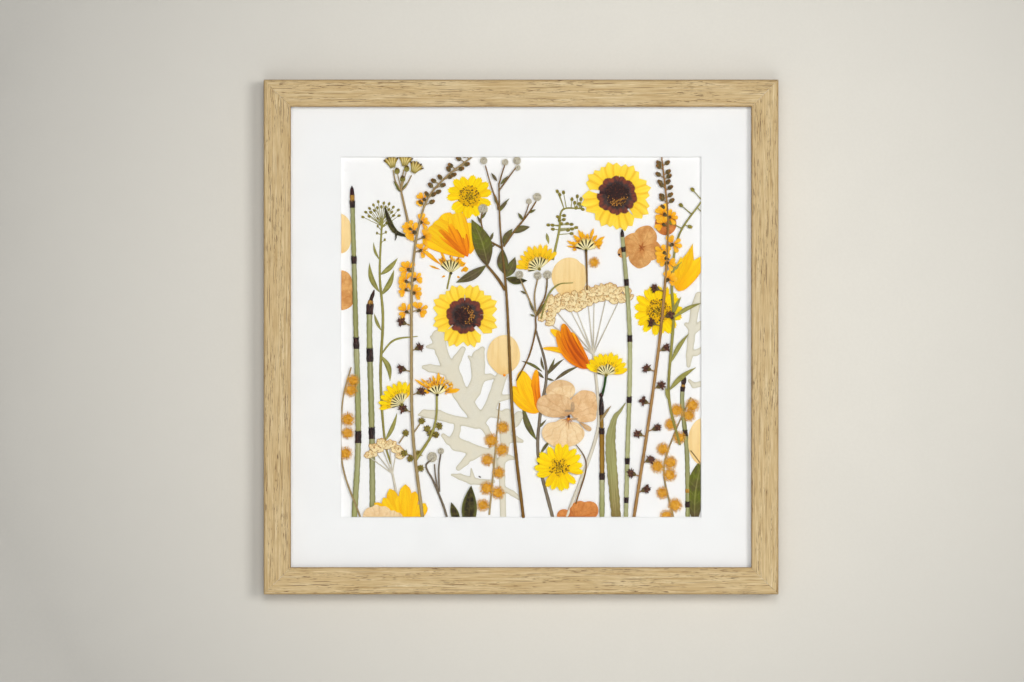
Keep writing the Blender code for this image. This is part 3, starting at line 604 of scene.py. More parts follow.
def paper_finish(name, tone, shade):
    """Smooth white board: a faint fibre mottle and a soft tooth."""
    made = Finish(name, roughness=0.85)
    tooth = made.noise(made.place(), 3.0, 3.0)
    cloud = made.noise(made.place(), 0.05, 2.0)
    base = made.mix(made.span(cloud, 0.3, 0.7, 0.0, 0.5), linear(tone), linear(shade))
    made.colour(made.mix(made.span(tooth, 0.3, 0.7, 0.0, 0.12), base, linear(shade)))
    made.height(tooth, 0.02, 0.4)
    return made


def hardboard_finish():
    """Brown hardboard with a pressed mesh pattern and loose fibres."""
    made = Finish("brown_hardboard", roughness=0.75)
    place = made.place()
    fibre = made.noise(place, 0.9, 4.0, 0.65)
    cloud = made.noise(place, 0.03, 2.0)
    split = made.axes(place)
    weave = made.math("MULTIPLY",
                      made.math("SINE", made.math("MULTIPLY", split[0], 4.2)),
                      made.math("SINE", made.math("MULTIPLY", split[2], 4.2)))
    base = made.ramp(fibre, [(0.25, (96, 66, 40)), (0.5, (126, 90, 58)), (0.75, (154, 116, 78))])
    base = made.mix(made.span(cloud, 0.35, 0.65, 0.0, 0.35), base, linear((104, 74, 48)))
    base = made.mix(made.span(weave, 0.2, 1.0, 0.0, 0.30), base, linear((84, 58, 36)))
    made.colour(base)
    made.height(made.math("ADD", fibre, made.math("MULTIPLY", weave, -0.5)), 0.15, 0.6)
    return made


def steel_finish(name, tone, rough):
    """Bright thin sheet steel with a drawn grain and faint tarnish."""
    made = Finish(name, roughness=rough)
    made.shader.inputs["Metallic"].default_value = 1.0
    split = made.node("Mapping")
    split.inputs["Scale"].default_value = (6.0, 6.0, 0.5)
    made.put(split.inputs[0], made.place())
    grain = made.noise(split.outputs[0], 1.0, 3.0)
    tarnish = made.noise(made.place(), 0.3, 3.0)
    base = made.mix(made.span(grain, 0.3, 0.7, 0.0, 0.25), linear(tone), linear((150, 148, 142)))
    base = made.mix(made.span(tarnish, 0.55, 0.75, 0.0, 0.4), base, linear((136, 124, 100)))
    made.colour(base)
    made.put(made.shader.inputs["Roughness"], made.span(tarnish, 0.3, 0.8, rough, rough + 0.25))
    made.height(grain, 0.03, 0.5)
    return made


def make_sheets():
    dress("glazing", glass_finish())
    dress("window_mat", paper_finish("mat_board", (246, 247, 249), (240, 241, 243)))
    dress("mounting_card", paper_finish("mounting_card", (249, 249, 250), (244, 244, 246)))
    dress("backing_board", hardboard_finish())
    steel = steel_finish("bright_steel", (196, 196, 192), 0.32)
    for side in ("top", "right", "bottom", "left"):
        dress(f"{side}_tab", steel)
    brass = steel_finish("hanger_steel", (206, 200, 184), 0.28)
    for node in ("hanger_plate", "left_hanger_rivet", "right_hanger_rivet"):
        dress(node, brass)


# ---------------------------------------------------------------- shapes of pressed plants

LAYER_PITCH = 0.6         # from one layer of specimens to the next
GOLDEN_TURN = 2.39996     # radians between neighbours in a seed head
FIRST_BACK = -box_mm("mounting_card")[0][1] + 0.3


def layer(number):
    """How far in front of the wall a layer of specimens starts."""
    return FIRST_BACK + LAYER_PITCH * number


def route_points(points, count):
    """A smooth curve through the points, as evenly spaced points and the distance run."""
    p = np.array(points, float)
    ends = np.vstack([2 * p[0] - p[1], p, 2 * p[-1] - p[-2]])
    t = np.linspace(0, 1, 16, endpoint=False)[:, None]
    dense = []
    for i in range(len(p) - 1):
        a, b, c, d = ends[i:i + 4]
        dense.append(0.5 * (2 * b + (c - a) * t + (2 * a - 5 * b + 4 * c - d) * t ** 2
                            + (3 * b - a - 3 * c + d) * t ** 3))
    dense = np.vstack(dense + [p[-1:]])
    run = np.r_[0, np.cumsum(np.linalg.norm(np.diff(dense, axis=0), axis=1))]
    at = np.linspace(0, run[-1], count)
    return np.stack([np.interp(at, run, column) for column in dense.T], 1), at


def polar(centre, radius, degrees):
    a = math.radians(degrees)
    return (centre[0] + radius * math.cos(a), centre[1] + radius * math.sin(a))


def bearing(start, end):
    """The direction from one place to another, in degrees."""
    return math.degrees(math.atan2(end[1] - start[1], end[0] - start[0]))


def spiral(count, rng, wobble):
    """How far out and at what angle each of some evenly packed items stands in a disc."""
    for i in range(count):
        yield math.sqrt((i + 0.5) / count), i * GOLDEN_TURN + rng.uniform(-wobble, wobble)


def between(a, b, part):
    return (a[0] + (b[0] - a[0]) * part, a[1] + (b[1] - a[1]) * part)


def strand(piece, route, widths, finish, thick=0.45, lift=0.0, tint=None, step=1.6, sides=7,
           flutes=0):
    """A pressed stem: flat behind, rounded in front, with optional lengthwise flutes."""
    length = sum(math.dist(route[i], route[i + 1]) for i in range(len(route) - 1))
    count = max(4, int(length / step) + 1)
    path, run = route_points(route, count)
    along = np.gradient(path, axis=0)
    along /= np.linalg.norm(along, axis=1)[:, None] + 1e-9
    widths = np.atleast_1d(np.array(widths, float))
    width = np.interp(run / run[-1], np.linspace(0, 1, len(widths)), widths)
    seed = (route[0][0] * 7.3 + route[0][1] * 3.1) % 50
    width = width * (1 + 0.05 * np.sin(run * 1.3 + seed) + 0.04 * np.sin(run * 0.47 + 2 * seed))
    sides = sides + 4 * flutes
    across = np.linspace(-1, 1, sides)
    rise = np.sqrt(np.clip(1 - across ** 2, 0, 1))
    if flutes:
        rise = rise * (1 - 0.22 * (0.5 + 0.5 * np.cos(across * math.pi * flutes)))
    side = across[None, :] * width[:, None] / 2
    x = path[:, :1] - along[:, 1:] * side
    z = path[:, 1:] + along[:, :1] * side
    top = np.minimum(thick, width * 0.55)[:, None]
    h = lift + rise[None, :] * top
    points = np.stack([x, h + 0 * x, z], 2)
    u = np.broadcast_to((across + 1) / 2, x.shape)
    v = np.broadcast_to((run / run[-1])[:, None], x.shape)
    metric = np.stack([side + seed * 3, np.broadcast_to(run[:, None] + seed * 11, x.shape)], 2)
    if tint is None:
        tint = 0.5 + 0.3 * math.sin(seed * 5)
    start = piece.grid(points, np.stack([u, v], 2), metric, finish, tint, wrap=True)
    piece.cap(start, sides)
    piece.cap(start + (count - 1) * sides, sides)


SHAPES = {
    "leaf": lambda v, belly: np.sin(math.pi * v ** (math.log(0.5) / math.log(belly))),
    "petal": lambda v, belly: (v ** 0.75 * np.sqrt(1 - v ** 5)) / 0.83,
    "oval": lambda v, belly: np.sqrt(np.clip(1 - (2 * v - 1) ** 2, 0, 1)),
    "ray": lambda v, belly: 0.30 + 0.70 * np.sin(np.minimum(v, 0.75) / 0.75 * math.pi / 2) ** 0.8
    - 0.24 * np.clip((v - 0.75) / 0.25, 0, 1) ** 2,
    "wedge": lambda v, belly: 0.24 + 0.76 * np.sin(v * 1.65) ** 1.1,
}


TISSUE = 0.07               # how thick a pressed petal or leaf is


def blade(piece, base, tip, width, finish, shape="leaf", belly=0.45, bend=0.0, rows=12,
          columns=7, lift=(0.05, 0.12), crown=0.12, teeth=0, notch=0.1, tint=0.5, ruffle=0.0,
          end_round=0.0, seed=0.0):
    """A leaf or petal: a thin closed sheet from base to tip. The teeth notch its far end."""
    base, tip = np.array(base, float), np.array(tip, float)
    length = np.linalg.norm(tip - base)
    along = (tip - base) / length
    side = np.array([-along[1], along[0]])
    v = 1 - (1 - np.linspace(0, 1, rows)) ** 1.35
    u = np.linspace(-1, 1, columns)
    half = width / 2 * SHAPES[shape](v, belly)
    ends = 1 - end_round * u ** 2
    if teeth:
        ends = ends - notch * (0.5 + 0.5 * np.cos(math.pi * teeth * (u + 1)))
    reach = v[:, None] * (1 - (1 - ends)[None, :] * np.clip(v * 1.6 - 0.6, 0, 1)[:, None])
    sway = bend * length * np.sin(math.pi * v)
    edge = 1 + ruffle * np.sin(v * 17 + seed * 9 + np.sign(u)[:, None] * 2).T * abs(u)
    wide = half[:, None] * u[None, :] * edge
    x = base[0] + along[0] * length * reach + side[0] * (wide + sway[:, None])
    z = base[1] + along[1] * length * reach + side[1] * (wide + sway[:, None])
    arch = np.sin(math.pi * v)[:, None]
    h = lift[0] + (lift[1] - lift[0]) * v[:, None] + crown * (1 - u ** 2) * arch
    h = h + 0.25 * crown * np.cos(u * 9 + seed * 5) * arch
    front = np.stack([x, h + TISSUE, z], 2)
    back = np.stack([x, h, z], 2)
    points = np.concatenate([front, back[:, ::-1]], 1)
    grid_u = np.broadcast_to((u + 1) / 2, x.shape)
    grid_v = np.broadcast_to(v[:, None], x.shape)
    uv = np.stack([grid_u, grid_v], 2)
    metric = np.stack([wide + 31 * seed, length * reach + 17 * seed], 2)
    start = piece.grid(points, np.concatenate([uv, uv[:, ::-1]], 1),
                       np.concatenate([metric, metric[:, ::-1]], 1), finish, tint, wrap=True)
    piece.hem(start, columns)
    piece.hem(start + (rows - 1) * 2 * columns, columns)


def dome(piece, centre, radius, finish, height=0.3, lift=0.0, tint=0.5, sides=10, rings=4,
         squash=1.0, turn=0.0, bumps=0.0):
    """A low rounded button with a flat back."""
    rise = np.linspace(0, 1, rings)
    angle = np.linspace(0, 2 * math.pi, sides, endpoint=False)
    reach = radius * np.cos(rise * math.pi / 2)
    ring = 1 + bumps * np.sin(angle * 5 + centre[0] * 7)
    px = reach[:, None] * np.cos(angle)[None, :] * ring
    pz = reach[:, None] * np.sin(angle)[None, :] * ring * squash
    c, s = math.cos(math.radians(turn)), math.sin(math.radians(turn))
    x = centre[0] + c * px - s * pz
    z = centre[1] + s * px + c * pz
    h = lift + height * np.sin(rise * math.pi / 2)[:, None] + 0 * x
    uv = np.stack([0.5 + px / radius / 2, np.broadcast_to(rise[:, None], x.shape)], 2)
    metric = np.stack([px + centre[0], pz + centre[1]], 2)
    start = piece.grid(np.stack([x, h, z], 2), uv, metric, finish, tint, wrap=True)
    piece.cap(start, sides)


def spike(piece, base, tip, radius, finish, heights=(0.0, 0.2), tint=0.5):
    """A fine three-sided hair or point from base to tip."""
    angle = np.linspace(0, 2 * math.pi, 3, endpoint=False) + 0.5
    ring = np.stack([base[0] + radius * np.cos(angle), heights[0] + radius * (1 + np.cos(angle)),
                     base[1] + radius * np.sin(angle)], 1)
    end = np.broadcast_to([tip[0], heights[1], tip[1]], ring.shape)
    points = np.stack([ring, end])
    uv = np.zeros((2, 3, 2))
    uv[1, :, 1] = 1
    start = piece.grid(points, uv, points[:, :, ::2].copy(), finish, tint, wrap=True)
    piece.cap(start, 3)


# ---------------------------------------------------------------- finishes of pressed plants

VEIN_SLANT = 0.9            # how far side veins lean towards the tip
MIDRIB_AMOUNT = 0.6


def plant_finish(key, name, along, streak=None, streaks=(0.8, 0.10), mottle=None, rim=None,
                 midrib=None, veins=None, vary=0.12, roughness=0.68):
    """Dried plant tissue, kept under its key. Colours run from base to tip, under lengthwise
    streaks, a mottle, side veins, a midrib and a darker rim. Each of these is a colour, then
    its strength where that varies, and then its scale, count, half width or start."""
    made = Finish(name, roughness)
    made.shader.inputs["Specular IOR Level"].default_value = 0.15
    split = made.axes(made.uv("uv"))
    across = made.math("ABSOLUTE", made.math("MULTIPLY", made.math("SUBTRACT", split[0], 0.5), 2.0))
    wander = made.noise(made.uv("metric", (0.9, 0.5)), 1.0, 2.0)
    v = made.math("ADD", split[1], made.math("MULTIPLY", made.math("SUBTRACT", wander, 0.5), 0.2))
    base = made.ramp(v, along)
    lines = made.noise(made.uv("metric", streaks), 1.0, 4.0, 0.65)
    if streak:
        colour, amount = streak
        base = made.mix(made.span(lines, 0.44, 0.60, 0.0, amount), base, linear(colour))
    if mottle:
        colour, amount, scale = mottle
        patches = made.noise(made.place(), scale, 5.0, 0.7)
        base = made.mix(made.span(patches, 0.44, 0.60, 0.0, amount), base, linear(colour))
    if veins:
        colour, amount, count = veins
        phase = made.math("SUBTRACT", made.math("MULTIPLY", split[1], float(count)),
                          made.math("MULTIPLY", across, VEIN_SLANT))
        wave = made.math("ABSOLUTE", made.math("SINE", made.math("MULTIPLY", phase, math.pi)))
        base = made.mix(made.span(wave, 0.0, 0.25, amount, 0.0), base, linear(colour))
    if midrib:
        colour, half = midrib
        base = made.mix(made.span(across, 0.0, half, MIDRIB_AMOUNT, 0.0), base, linear(colour))
    if rim:
        colour, amount, first = rim
        base = made.mix(made.span(across, first, 1.0, 0.0, amount), base, linear(colour))
    made.tinted_colour(base, 1 - vary, 1 + vary)
    fine = made.noise(made.place(), 2.2, 2.0)
    made.height(made.math("ADD", lines, made.math("MULTIPLY", fine, 0.5)), 0.16, 0.8)
    FINISHES[key] = made


def make_finishes():
    plant_finish("bright_daisy", "bright_daisy_yellow", [(0.0, (248, 196, 0)),
        (0.35, (254, 216, 0)), (1.0, (255, 228, 8))], streak=((246, 192, 0), 0.75),
        rim=((230, 168, 0), 0.6, 0.8), streaks=(0.55, 0.05), vary=0.05)
    plant_finish("warm_daisy", "warm_daisy_yellow", [(0.0, (236, 158, 6)), (0.4, (248, 196, 16)),
        (1.0, (255, 214, 40))], streak=((240, 176, 10), 0.5), rim=((212, 140, 6), 0.6, 0.8),
        streaks=(0.55, 0.05), vary=0.07)
    FINISHES["coreopsis"] = coreopsis_finish()
    plant_finish("yellow_petal", "broad_yellow_petal", [(0.0, (250, 176, 8)),
        (0.4, (255, 200, 10)), (1.0, (255, 212, 30))], streak=((246, 170, 4), 0.7),
        rim=((236, 150, 4), 0.7, 0.86), streaks=(0.5, 0.03), vary=0.08)
    plant_finish("orange_streaked", "orange_streaked_petal", [(0.0, (232, 118, 2)),
        (0.45, (246, 144, 4)), (0.85, (252, 166, 6)), (1.0, (255, 184, 12))],
        streak=((206, 92, 2), 0.85), streaks=(0.6, 0.03), vary=0.06)
    plant_finish("deep_orange", "deep_orange_petal", [(0.0, (214, 98, 0)), (0.5, (226, 110, 0)),
        (0.9, (240, 140, 2)), (1.0, (250, 170, 8))], streak=((172, 66, 0), 0.85),
        streaks=(0.6, 0.03), vary=0.06)
    plant_finish("smudge", "grey_smudge", [(0.0, (186, 154, 120)), (1.0, (200, 164, 124))],
        mottle=((150, 130, 104), 0.6, 0.2))
    plant_finish("vein", "brown_vein", [(0.0, (160, 90, 40)), (1.0, (206, 150, 96))])
    plant_finish("golden_ray", "golden_ray", [(0.0, (216, 134, 12)), (0.5, (244, 178, 20)),
        (1.0, (252, 196, 40))], streak=((222, 140, 10), 0.5), vary=0.1)
    plant_finish("agrimony", "agrimony_petal", [(0.0, (226, 132, 10)), (0.35, (246, 172, 22)),
        (1.0, (253, 200, 62))], streak=((240, 156, 16), 0.5), vary=0.08)
    plant_finish("peach", "peach_petal", [(0.0, (236, 192, 120)), (0.25, (246, 214, 152)),
        (1.0, (250, 221, 164))], streak=((236, 196, 128), 0.5), streaks=(0.35, 0.02), vary=0.03)
    FINISHES["tan"] = tissue_finish("tan_floret", (226, 172, 104), (202, 138, 72), (190, 118, 54))
    FINISHES["rust"] = tissue_finish("rust_floret", (218, 142, 72), (198, 116, 48), (180, 96, 36))
    FINISHES["pansy"] = tissue_finish("viola_petal", (238, 202, 154), (222, 176, 124),
        (196, 140, 88))
    FINISHES["pansy_pale"] = tissue_finish("viola_petal_pale", (246, 218, 174), (236, 200, 150),
        (206, 158, 106))
    plant_finish("orange_mark", "floret_heart", [(0.0, (150, 70, 24)), (1.0, (196, 120, 60))],
        vary=0.2)
    plant_finish("green_leaf", "olive_leaf", [(0.0, (88, 70, 52)), (0.22, (92, 78, 50)),
        (0.42, (104, 112, 34)), (1.0, (112, 120, 30))], streak=((74, 74, 26), 0.7),
        mottle=((86, 70, 48), 0.6, 0.2), rim=((78, 70, 34), 0.5, 0.75),
        veins=((150, 148, 84), 0.35, 9), midrib=((158, 152, 90), 0.1))
    plant_finish("dull_leaf", "grey_brown_leaf", [(0.0, (84, 72, 50)), (0.5, (100, 88, 62)),
        (1.0, (92, 86, 50))], streak=((66, 54, 36), 0.7), mottle=((104, 110, 40), 0.8, 0.2),
        rim=((66, 54, 38), 0.7, 0.75), veins=((136, 122, 92), 0.35, 8),
        midrib=((150, 136, 100), 0.1))
    plant_finish("dark_leaf", "blackened_leaf", [(0.0, (46, 38, 24)), (1.0, (44, 36, 24))],
        streak=((20, 16, 12), 0.8), mottle=((92, 84, 36), 0.7, 0.28),
        rim=((98, 100, 44), 1.0, 0.5), midrib=((84, 72, 42), 0.1))
    plant_finish("sprig_leaf", "yellow_green_leaf", [(0.0, (146, 142, 84)), (1.0, (144, 140, 72))],
        streak=((108, 104, 34), 0.7), mottle=((178, 172, 92), 0.5, 0.2),
        rim=((104, 98, 36), 0.5, 0.75), midrib=((186, 180, 112), 0.1))
    plant_finish("green_stem", "yellow_green_stem", [(0.0, (164, 160, 88)), (1.0, (160, 152, 80))],
        streak=((126, 116, 50), 0.6), rim=((116, 106, 46), 0.7, 0.4), streaks=(1.0, 0.06))
    plant_finish("grey_stem", "grey_stem", [(0.0, (112, 98, 80)), (1.0, (116, 104, 86))],
        streak=((150, 138, 120), 0.5), rim=((72, 58, 46), 0.8, 0.4), streaks=(1.0, 0.06))
    plant_finish("brown_stem", "brown_stem", [(0.0, (118, 92, 52)), (1.0, (124, 86, 30))],
        streak=((150, 118, 64), 0.5), rim=((78, 54, 22), 0.8, 0.4), streaks=(1.0, 0.05))
    plant_finish("khaki_stem", "khaki_stem", [(0.0, (168, 144, 100)), (1.0, (174, 154, 110))],
        streak=((136, 112, 72), 0.55), rim=((126, 102, 64), 0.8, 0.4), streaks=(1.0, 0.05))
    plant_finish("tan_stem", "tan_stem", [(0.0, (150, 110, 58)), (0.5, (172, 134, 82)),
        (1.0, (168, 130, 76))], streak=((126, 88, 44), 0.6), rim=((122, 84, 44), 0.8, 0.4),
        streaks=(1.0, 0.05))
    plant_finish("white_stem", "whitish_stem", [(0.0, (216, 208, 190)), (1.0, (222, 216, 202))],
        streak=((178, 168, 148), 0.6), rim=((170, 162, 144), 0.7, 0.5), streaks=(1.0, 0.06))
    plant_finish("dark_green_stem", "dark_green_stem", [(0.0, (44, 84, 22)), (1.0, (36, 62, 24))],
        streak=((24, 48, 16), 0.3), rim=((22, 40, 14), 0.5, 0.4))
    plant_finish("horsetail", "horsetail_green", [(0.0, (186, 182, 146)), (0.5, (174, 174, 128)),
        (1.0, (170, 166, 112))], streak=((128, 130, 74), 0.7), mottle=((150, 156, 96), 0.4, 0.12),
        rim=((104, 106, 50), 0.85, 0.35), streaks=(0.8, 0.02))
    plant_finish("horsetail_pale", "horsetail_pale", [(0.0, (172, 174, 130)),
        (1.0, (178, 178, 132))], streak=((132, 132, 78), 0.55), mottle=((190, 190, 150), 0.4, 0.2),
        rim=((118, 118, 66), 0.75, 0.5), streaks=(0.8, 0.02))
    plant_finish("amber", "amber_sheath", [(0.0, (196, 150, 70)), (1.0, (176, 128, 40))],
        streak=((112, 74, 22), 0.6), rim=((110, 66, 20), 0.7, 0.4))
    plant_finish("sheath", "black_sheath", [(0.0, (10, 6, 8)), (1.0, (20, 10, 10))],
        streak=((92, 44, 28), 0.3), streaks=(0.9, 0.15), vary=0.2, roughness=0.5)
    plant_finish("maroon", "maroon_tip", [(0.0, (38, 16, 20)), (1.0, (58, 26, 30))],
        streak=((28, 14, 18), 0.6))
    plant_finish("bract", "striped_bract", [(0.0, (128, 120, 44)), (0.45, (176, 158, 62)),
        (0.75, (166, 138, 44)), (0.88, (74, 44, 18)), (1.0, (58, 30, 18))],
        streak=((110, 98, 30), 0.3), rim=((70, 58, 20), 0.9, 0.45))
    plant_finish("pale_bract", "pale_bract", [(0.0, (156, 138, 60)), (0.5, (226, 206, 140)),
        (1.0, (206, 178, 96))], rim=((92, 60, 26), 0.95, 0.35))
    plant_finish("dark_bract", "dark_bract", [(0.0, (86, 66, 24)), (1.0, (66, 42, 20))],
        streak=((48, 30, 14), 0.3))
    plant_finish("bud", "brown_bud", [(0.0, (120, 92, 52)), (0.5, (150, 110, 52)),
        (1.0, (96, 62, 28))], mottle=((70, 44, 22), 0.6, 1.2), vary=0.2)
    plant_finish("bud_green", "olive_bud", [(0.0, (150, 146, 76)), (0.6, (136, 128, 52)),
        (1.0, (92, 74, 28))], mottle=((84, 64, 26), 0.6, 1.2), vary=0.2)
    plant_finish("calyx", "brown_calyx", [(0.0, (120, 106, 62)), (1.0, (78, 58, 34))],
        mottle=((52, 36, 24), 0.6, 1.0), vary=0.2)
    plant_finish("seed", "maroon_seed_crown", [(0.0, (124, 92, 62)), (0.4, (92, 52, 40)),
        (1.0, (46, 22, 24))], mottle=((38, 18, 20), 0.5, 1.4), vary=0.25)
    plant_finish("floret_gold", "golden_disc_floret", [(0.0, (214, 156, 4)), (1.0, (250, 200, 6))],
        vary=0.12)
    plant_finish("floret_brown", "brown_disc_floret", [(0.0, (88, 58, 12)), (1.0, (134, 92, 14))],
        vary=0.25)
    plant_finish("floret_dark", "dark_disc_floret", [(0.0, (22, 12, 14)), (1.0, (56, 36, 34))],
        vary=0.3)
    plant_finish("floret_maroon", "maroon_disc_floret", [(0.0, (58, 24, 16)), (1.0, (92, 48, 34))],
        vary=0.2)
    plant_finish("speck", "golden_pollen", [(0.0, (176, 116, 40)), (1.0, (206, 148, 62))],
        vary=0.3)
    plant_finish("floret_olive", "olive_disc_floret", [(0.0, (96, 82, 12)), (1.0, (140, 122, 20))],
        vary=0.2)
    plant_finish("mimosa", "mimosa_fluff", [(0.0, (230, 166, 38)), (1.0, (248, 196, 66))],
        mottle=((204, 134, 28), 0.8, 0.5), vary=0.14, roughness=0.85)
    plant_finish("mimosa_pale", "mimosa_anthers", [(0.0, (238, 188, 92)), (1.0, (248, 214, 140))],
        vary=0.1)
    plant_finish("amber_stem", "olive_amber_stem", [(0.0, (150, 110, 34)), (1.0, (166, 130, 54))],
        streak=((108, 78, 22), 0.7), rim=((84, 56, 14), 0.9, 0.4), streaks=(0.8, 0.03))
    plant_finish("cream_rib", "cream_rib", [(0.0, (196, 178, 96)), (0.35, (246, 236, 190)),
        (0.75, (244, 228, 160)), (1.0, (196, 150, 40))], streak=((220, 204, 140), 0.3),
        rim=((150, 128, 60), 0.7, 0.7))
    plant_finish("outlined_floret", "outlined_floret", [(0.0, (226, 170, 10)),
        (1.0, (250, 208, 20))], rim=((96, 66, 8), 0.95, 0.4))
    plant_finish("tuft", "brown_tuft", [(0.0, (176, 104, 22)), (1.0, (200, 128, 40))], vary=0.2)
    plant_finish("dark_rib", "dark_rib", [(0.0, (40, 34, 14)), (0.6, (62, 54, 20)),
        (1.0, (54, 38, 14))])
    plant_finish("mottled_leaf", "mottled_leaf", [(0.0, (148, 146, 66)), (0.8, (140, 142, 60)),
        (1.0, (128, 96, 60))], streak=((112, 116, 44), 0.6), mottle=((160, 166, 50), 0.8, 0.14),
        rim=((120, 84, 44), 0.6, 0.75))
    plant_finish("fluff", "grey_fluff", [(0.0, (196, 188, 166)), (1.0, (228, 222, 204))],
        vary=0.14, roughness=0.9)
    plant_finish("fluff_dark", "grey_fluff_heart", [(0.0, (120, 108, 92)), (1.0, (140, 128, 112))],
        vary=0.2, roughness=0.9)
    plant_finish("straw", "straw_scale", [(0.0, (214, 174, 100)), (0.45, (244, 226, 180)),
        (0.8, (244, 222, 170)), (1.0, (196, 136, 52))], rim=((142, 84, 22), 1.0, 0.5), vary=0.1)
    plant_finish("straw_edge", "straw_brown", [(0.0, (176, 116, 40)), (1.0, (196, 138, 58))],
        vary=0.15)
    plant_finish("grass", "grass_blade", [(0.0, (164, 162, 112)), (0.6, (160, 158, 104)),
        (0.85, (156, 142, 92)), (1.0, (128, 104, 58))], streak=((118, 112, 54), 0.6),
        rim=((112, 102, 50), 0.8, 0.85), midrib=((178, 172, 120), 0.06), streaks=(0.7, 0.02))
    FINISHES["silver"] = silver_finish()


def coreopsis_finish():
    """A yellow ray whose foot is maroon with a scalloped border, black at the very base."""
    made = Finish("coreopsis_ray", 0.62)
    split = made.axes(made.uv("uv"))
    centred = made.math("SUBTRACT", split[0], 0.5)
    lines = made.noise(made.uv("metric", (0.6, 0.04)), 1.0, 4.0, 0.65)
    wander = made.noise(made.uv("metric", (0.9, 0.9)), 1.0, 2.0)
    base = made.ramp(split[1], [(0.3, (248, 200, 20)), (0.6, (255, 220, 50)), (1.0, (255, 226, 78))])
    base = made.mix(made.span(lines, 0.44, 0.70, 0.0, 0.6), base, linear((246, 190, 10)))
    fold = made.math("ABSOLUTE", made.math("SUBTRACT", made.math("ABSOLUTE", centred), 0.17))
    base = made.mix(made.span(fold, 0.02, 0.07, 0.75, 0.0), base, linear((240, 180, 0)))
    scallop = made.math("ABSOLUTE", made.math("SINE", made.math("MULTIPLY", centred,
                                                                math.pi * 2.0)))
    border = made.math("SUBTRACT", split[1], made.math("MULTIPLY", scallop, 0.06))
    border = made.math("ADD", border, made.math("MULTIPLY", wander, 0.06))
    maroon = made.mix(made.span(lines, 0.42, 0.58), linear((116, 40, 4)), linear((66, 16, 4)))
    base = made.mix(made.span(border, 0.405, 0.375), base, maroon)
    base = made.mix(made.span(border, 0.27, 0.17), base, linear((26, 8, 6)))
    made.tinted_colour(base, 0.94, 1.05)
    made.height(lines, 0.08, 0.8)
    return made


def tissue_finish(name, pale, deep, vein):
    """A papery floret: fine veins that fan out from its base, a mottle and a browned rim."""
    made = Finish(name, 0.7)
    split = made.axes(made.uv("uv"))
    across = made.math("ABSOLUTE", made.math("MULTIPLY", made.math("SUBTRACT", split[0], 0.5), 2.0))
    place = made.place()
    patches = made.noise(place, 0.16, 4.0, 0.65)
    fine = made.noise(place, 0.55, 3.0, 0.65)
    bent = made.math("ADD", made.math("MULTIPLY", split[0], 7.0),
                     made.math("MULTIPLY", made.noise(place, 0.14, 2.0), 1.6))
    lines = made.math("ABSOLUTE", made.math("SINE", made.math("MULTIPLY", bent, math.pi)))
    base = made.mix(made.span(patches, 0.42, 0.60), linear(pale), linear(deep))
    base = made.mix(made.span(fine, 0.44, 0.62, 0.0, 0.5), base, linear(deep))
    base = made.mix(made.span(lines, 0.0, 0.35, 0.45, 0.0), base, linear(vein))
    base = made.mix(made.span(split[1], 0.0, 0.30, 0.55, 0.0), base, linear(vein))
    base = made.mix(made.span(across, 0.85, 1.0, 0.0, 0.5), base, linear(vein))
    base = made.mix(made.span(split[1], 0.93, 1.0, 0.0, 0.45), base, linear(vein))
    made.tinted_colour(base, 0.92, 1.08)
    made.height(made.math("ADD", made.math("MULTIPLY", lines, 0.6), fine), 0.30, 0.8)
    return made


def silver_finish():
    """Felted leaf: pale woolly grey-cream, a little darker along the rim."""
    made = Finish("felted_leaf", 0.92)
    made.shader.inputs["Sheen Weight"].default_value = 0.15
    wool = made.noise(made.place(), 1.5, 4.0, 0.7)
    cloud = made.noise(made.place(), 0.12, 2.0)
    base = made.mix(made.span(wool, 0.3, 0.7), linear((231, 227, 212)), linear((220, 214, 196)))
    base = made.mix(made.span(cloud, 0.4, 0.65, 0.0, 0.5), base, linear((228, 220, 198)))
    base = made.mix(made.math("MULTIPLY", made.attribute("tint"), 0.8), base,
                    linear((180, 171, 142)))
    made.colour(base)
    made.height(wool, 0.10, 0.7)
    return made


# ---------------------------------------------------------------- parts of flowers

def stretch(route, high, low, count=24):
    """The part of a downward route between two heights."""
    path, _ = route_points(route, 240)
    at = np.linspace(high, low, count)
    return list(zip(np.interp(-at, -path[:, 1], path[:, 0]), at))


def horsetail(piece, route, bands, rng, green):
    """Bands are (top, bottom, kind, width). A sheath gets a crown of teeth along its top."""
    for high, low, kind, width in bands:
        part = stretch(route, high, low, max(4, int((high - low) / 3)))
        if kind == "stem":
            strand(piece, part, [width, width * 0.97, width * 1.02, width], green,
                   thick=0.42, flutes=3, step=1.2)
        elif kind == "tip":
            strand(piece, part, [0.3, width * 0.8, width, width], "maroon", thick=0.45,
                   step=0.6)
        elif kind in ("black_tip", "bulb"):
            shape = [0.3, 0.9, 1.0] if kind == "black_tip" else [0.25, 0.95, 1.0, 0.8]
            strand(piece, part, [width * s for s in shape], "sheath", thick=0.45,
                   step=0.6)
        elif kind.startswith("amber"):
            strand(piece, part, [width * 0.96, width], kind, thick=0.45, step=0.7)
        else:
            strand(piece, part, [width, width * 1.06, width], "sheath", thick=0.5,
                   flutes=3, step=0.6)
            x, z = part[0]
            for i in range(5):
                off = (i - 2) / 4 * width * 0.86
                blade(piece, (x + off, z - 0.4), (x + off * 1.1, z + rng.uniform(0.5, 1.0)),
                      width / 4.6, "sheath", "leaf", 0.3, rows=4, columns=3,
                      lift=(0.36, 0.40), crown=0.05)


FLORET = 0.5


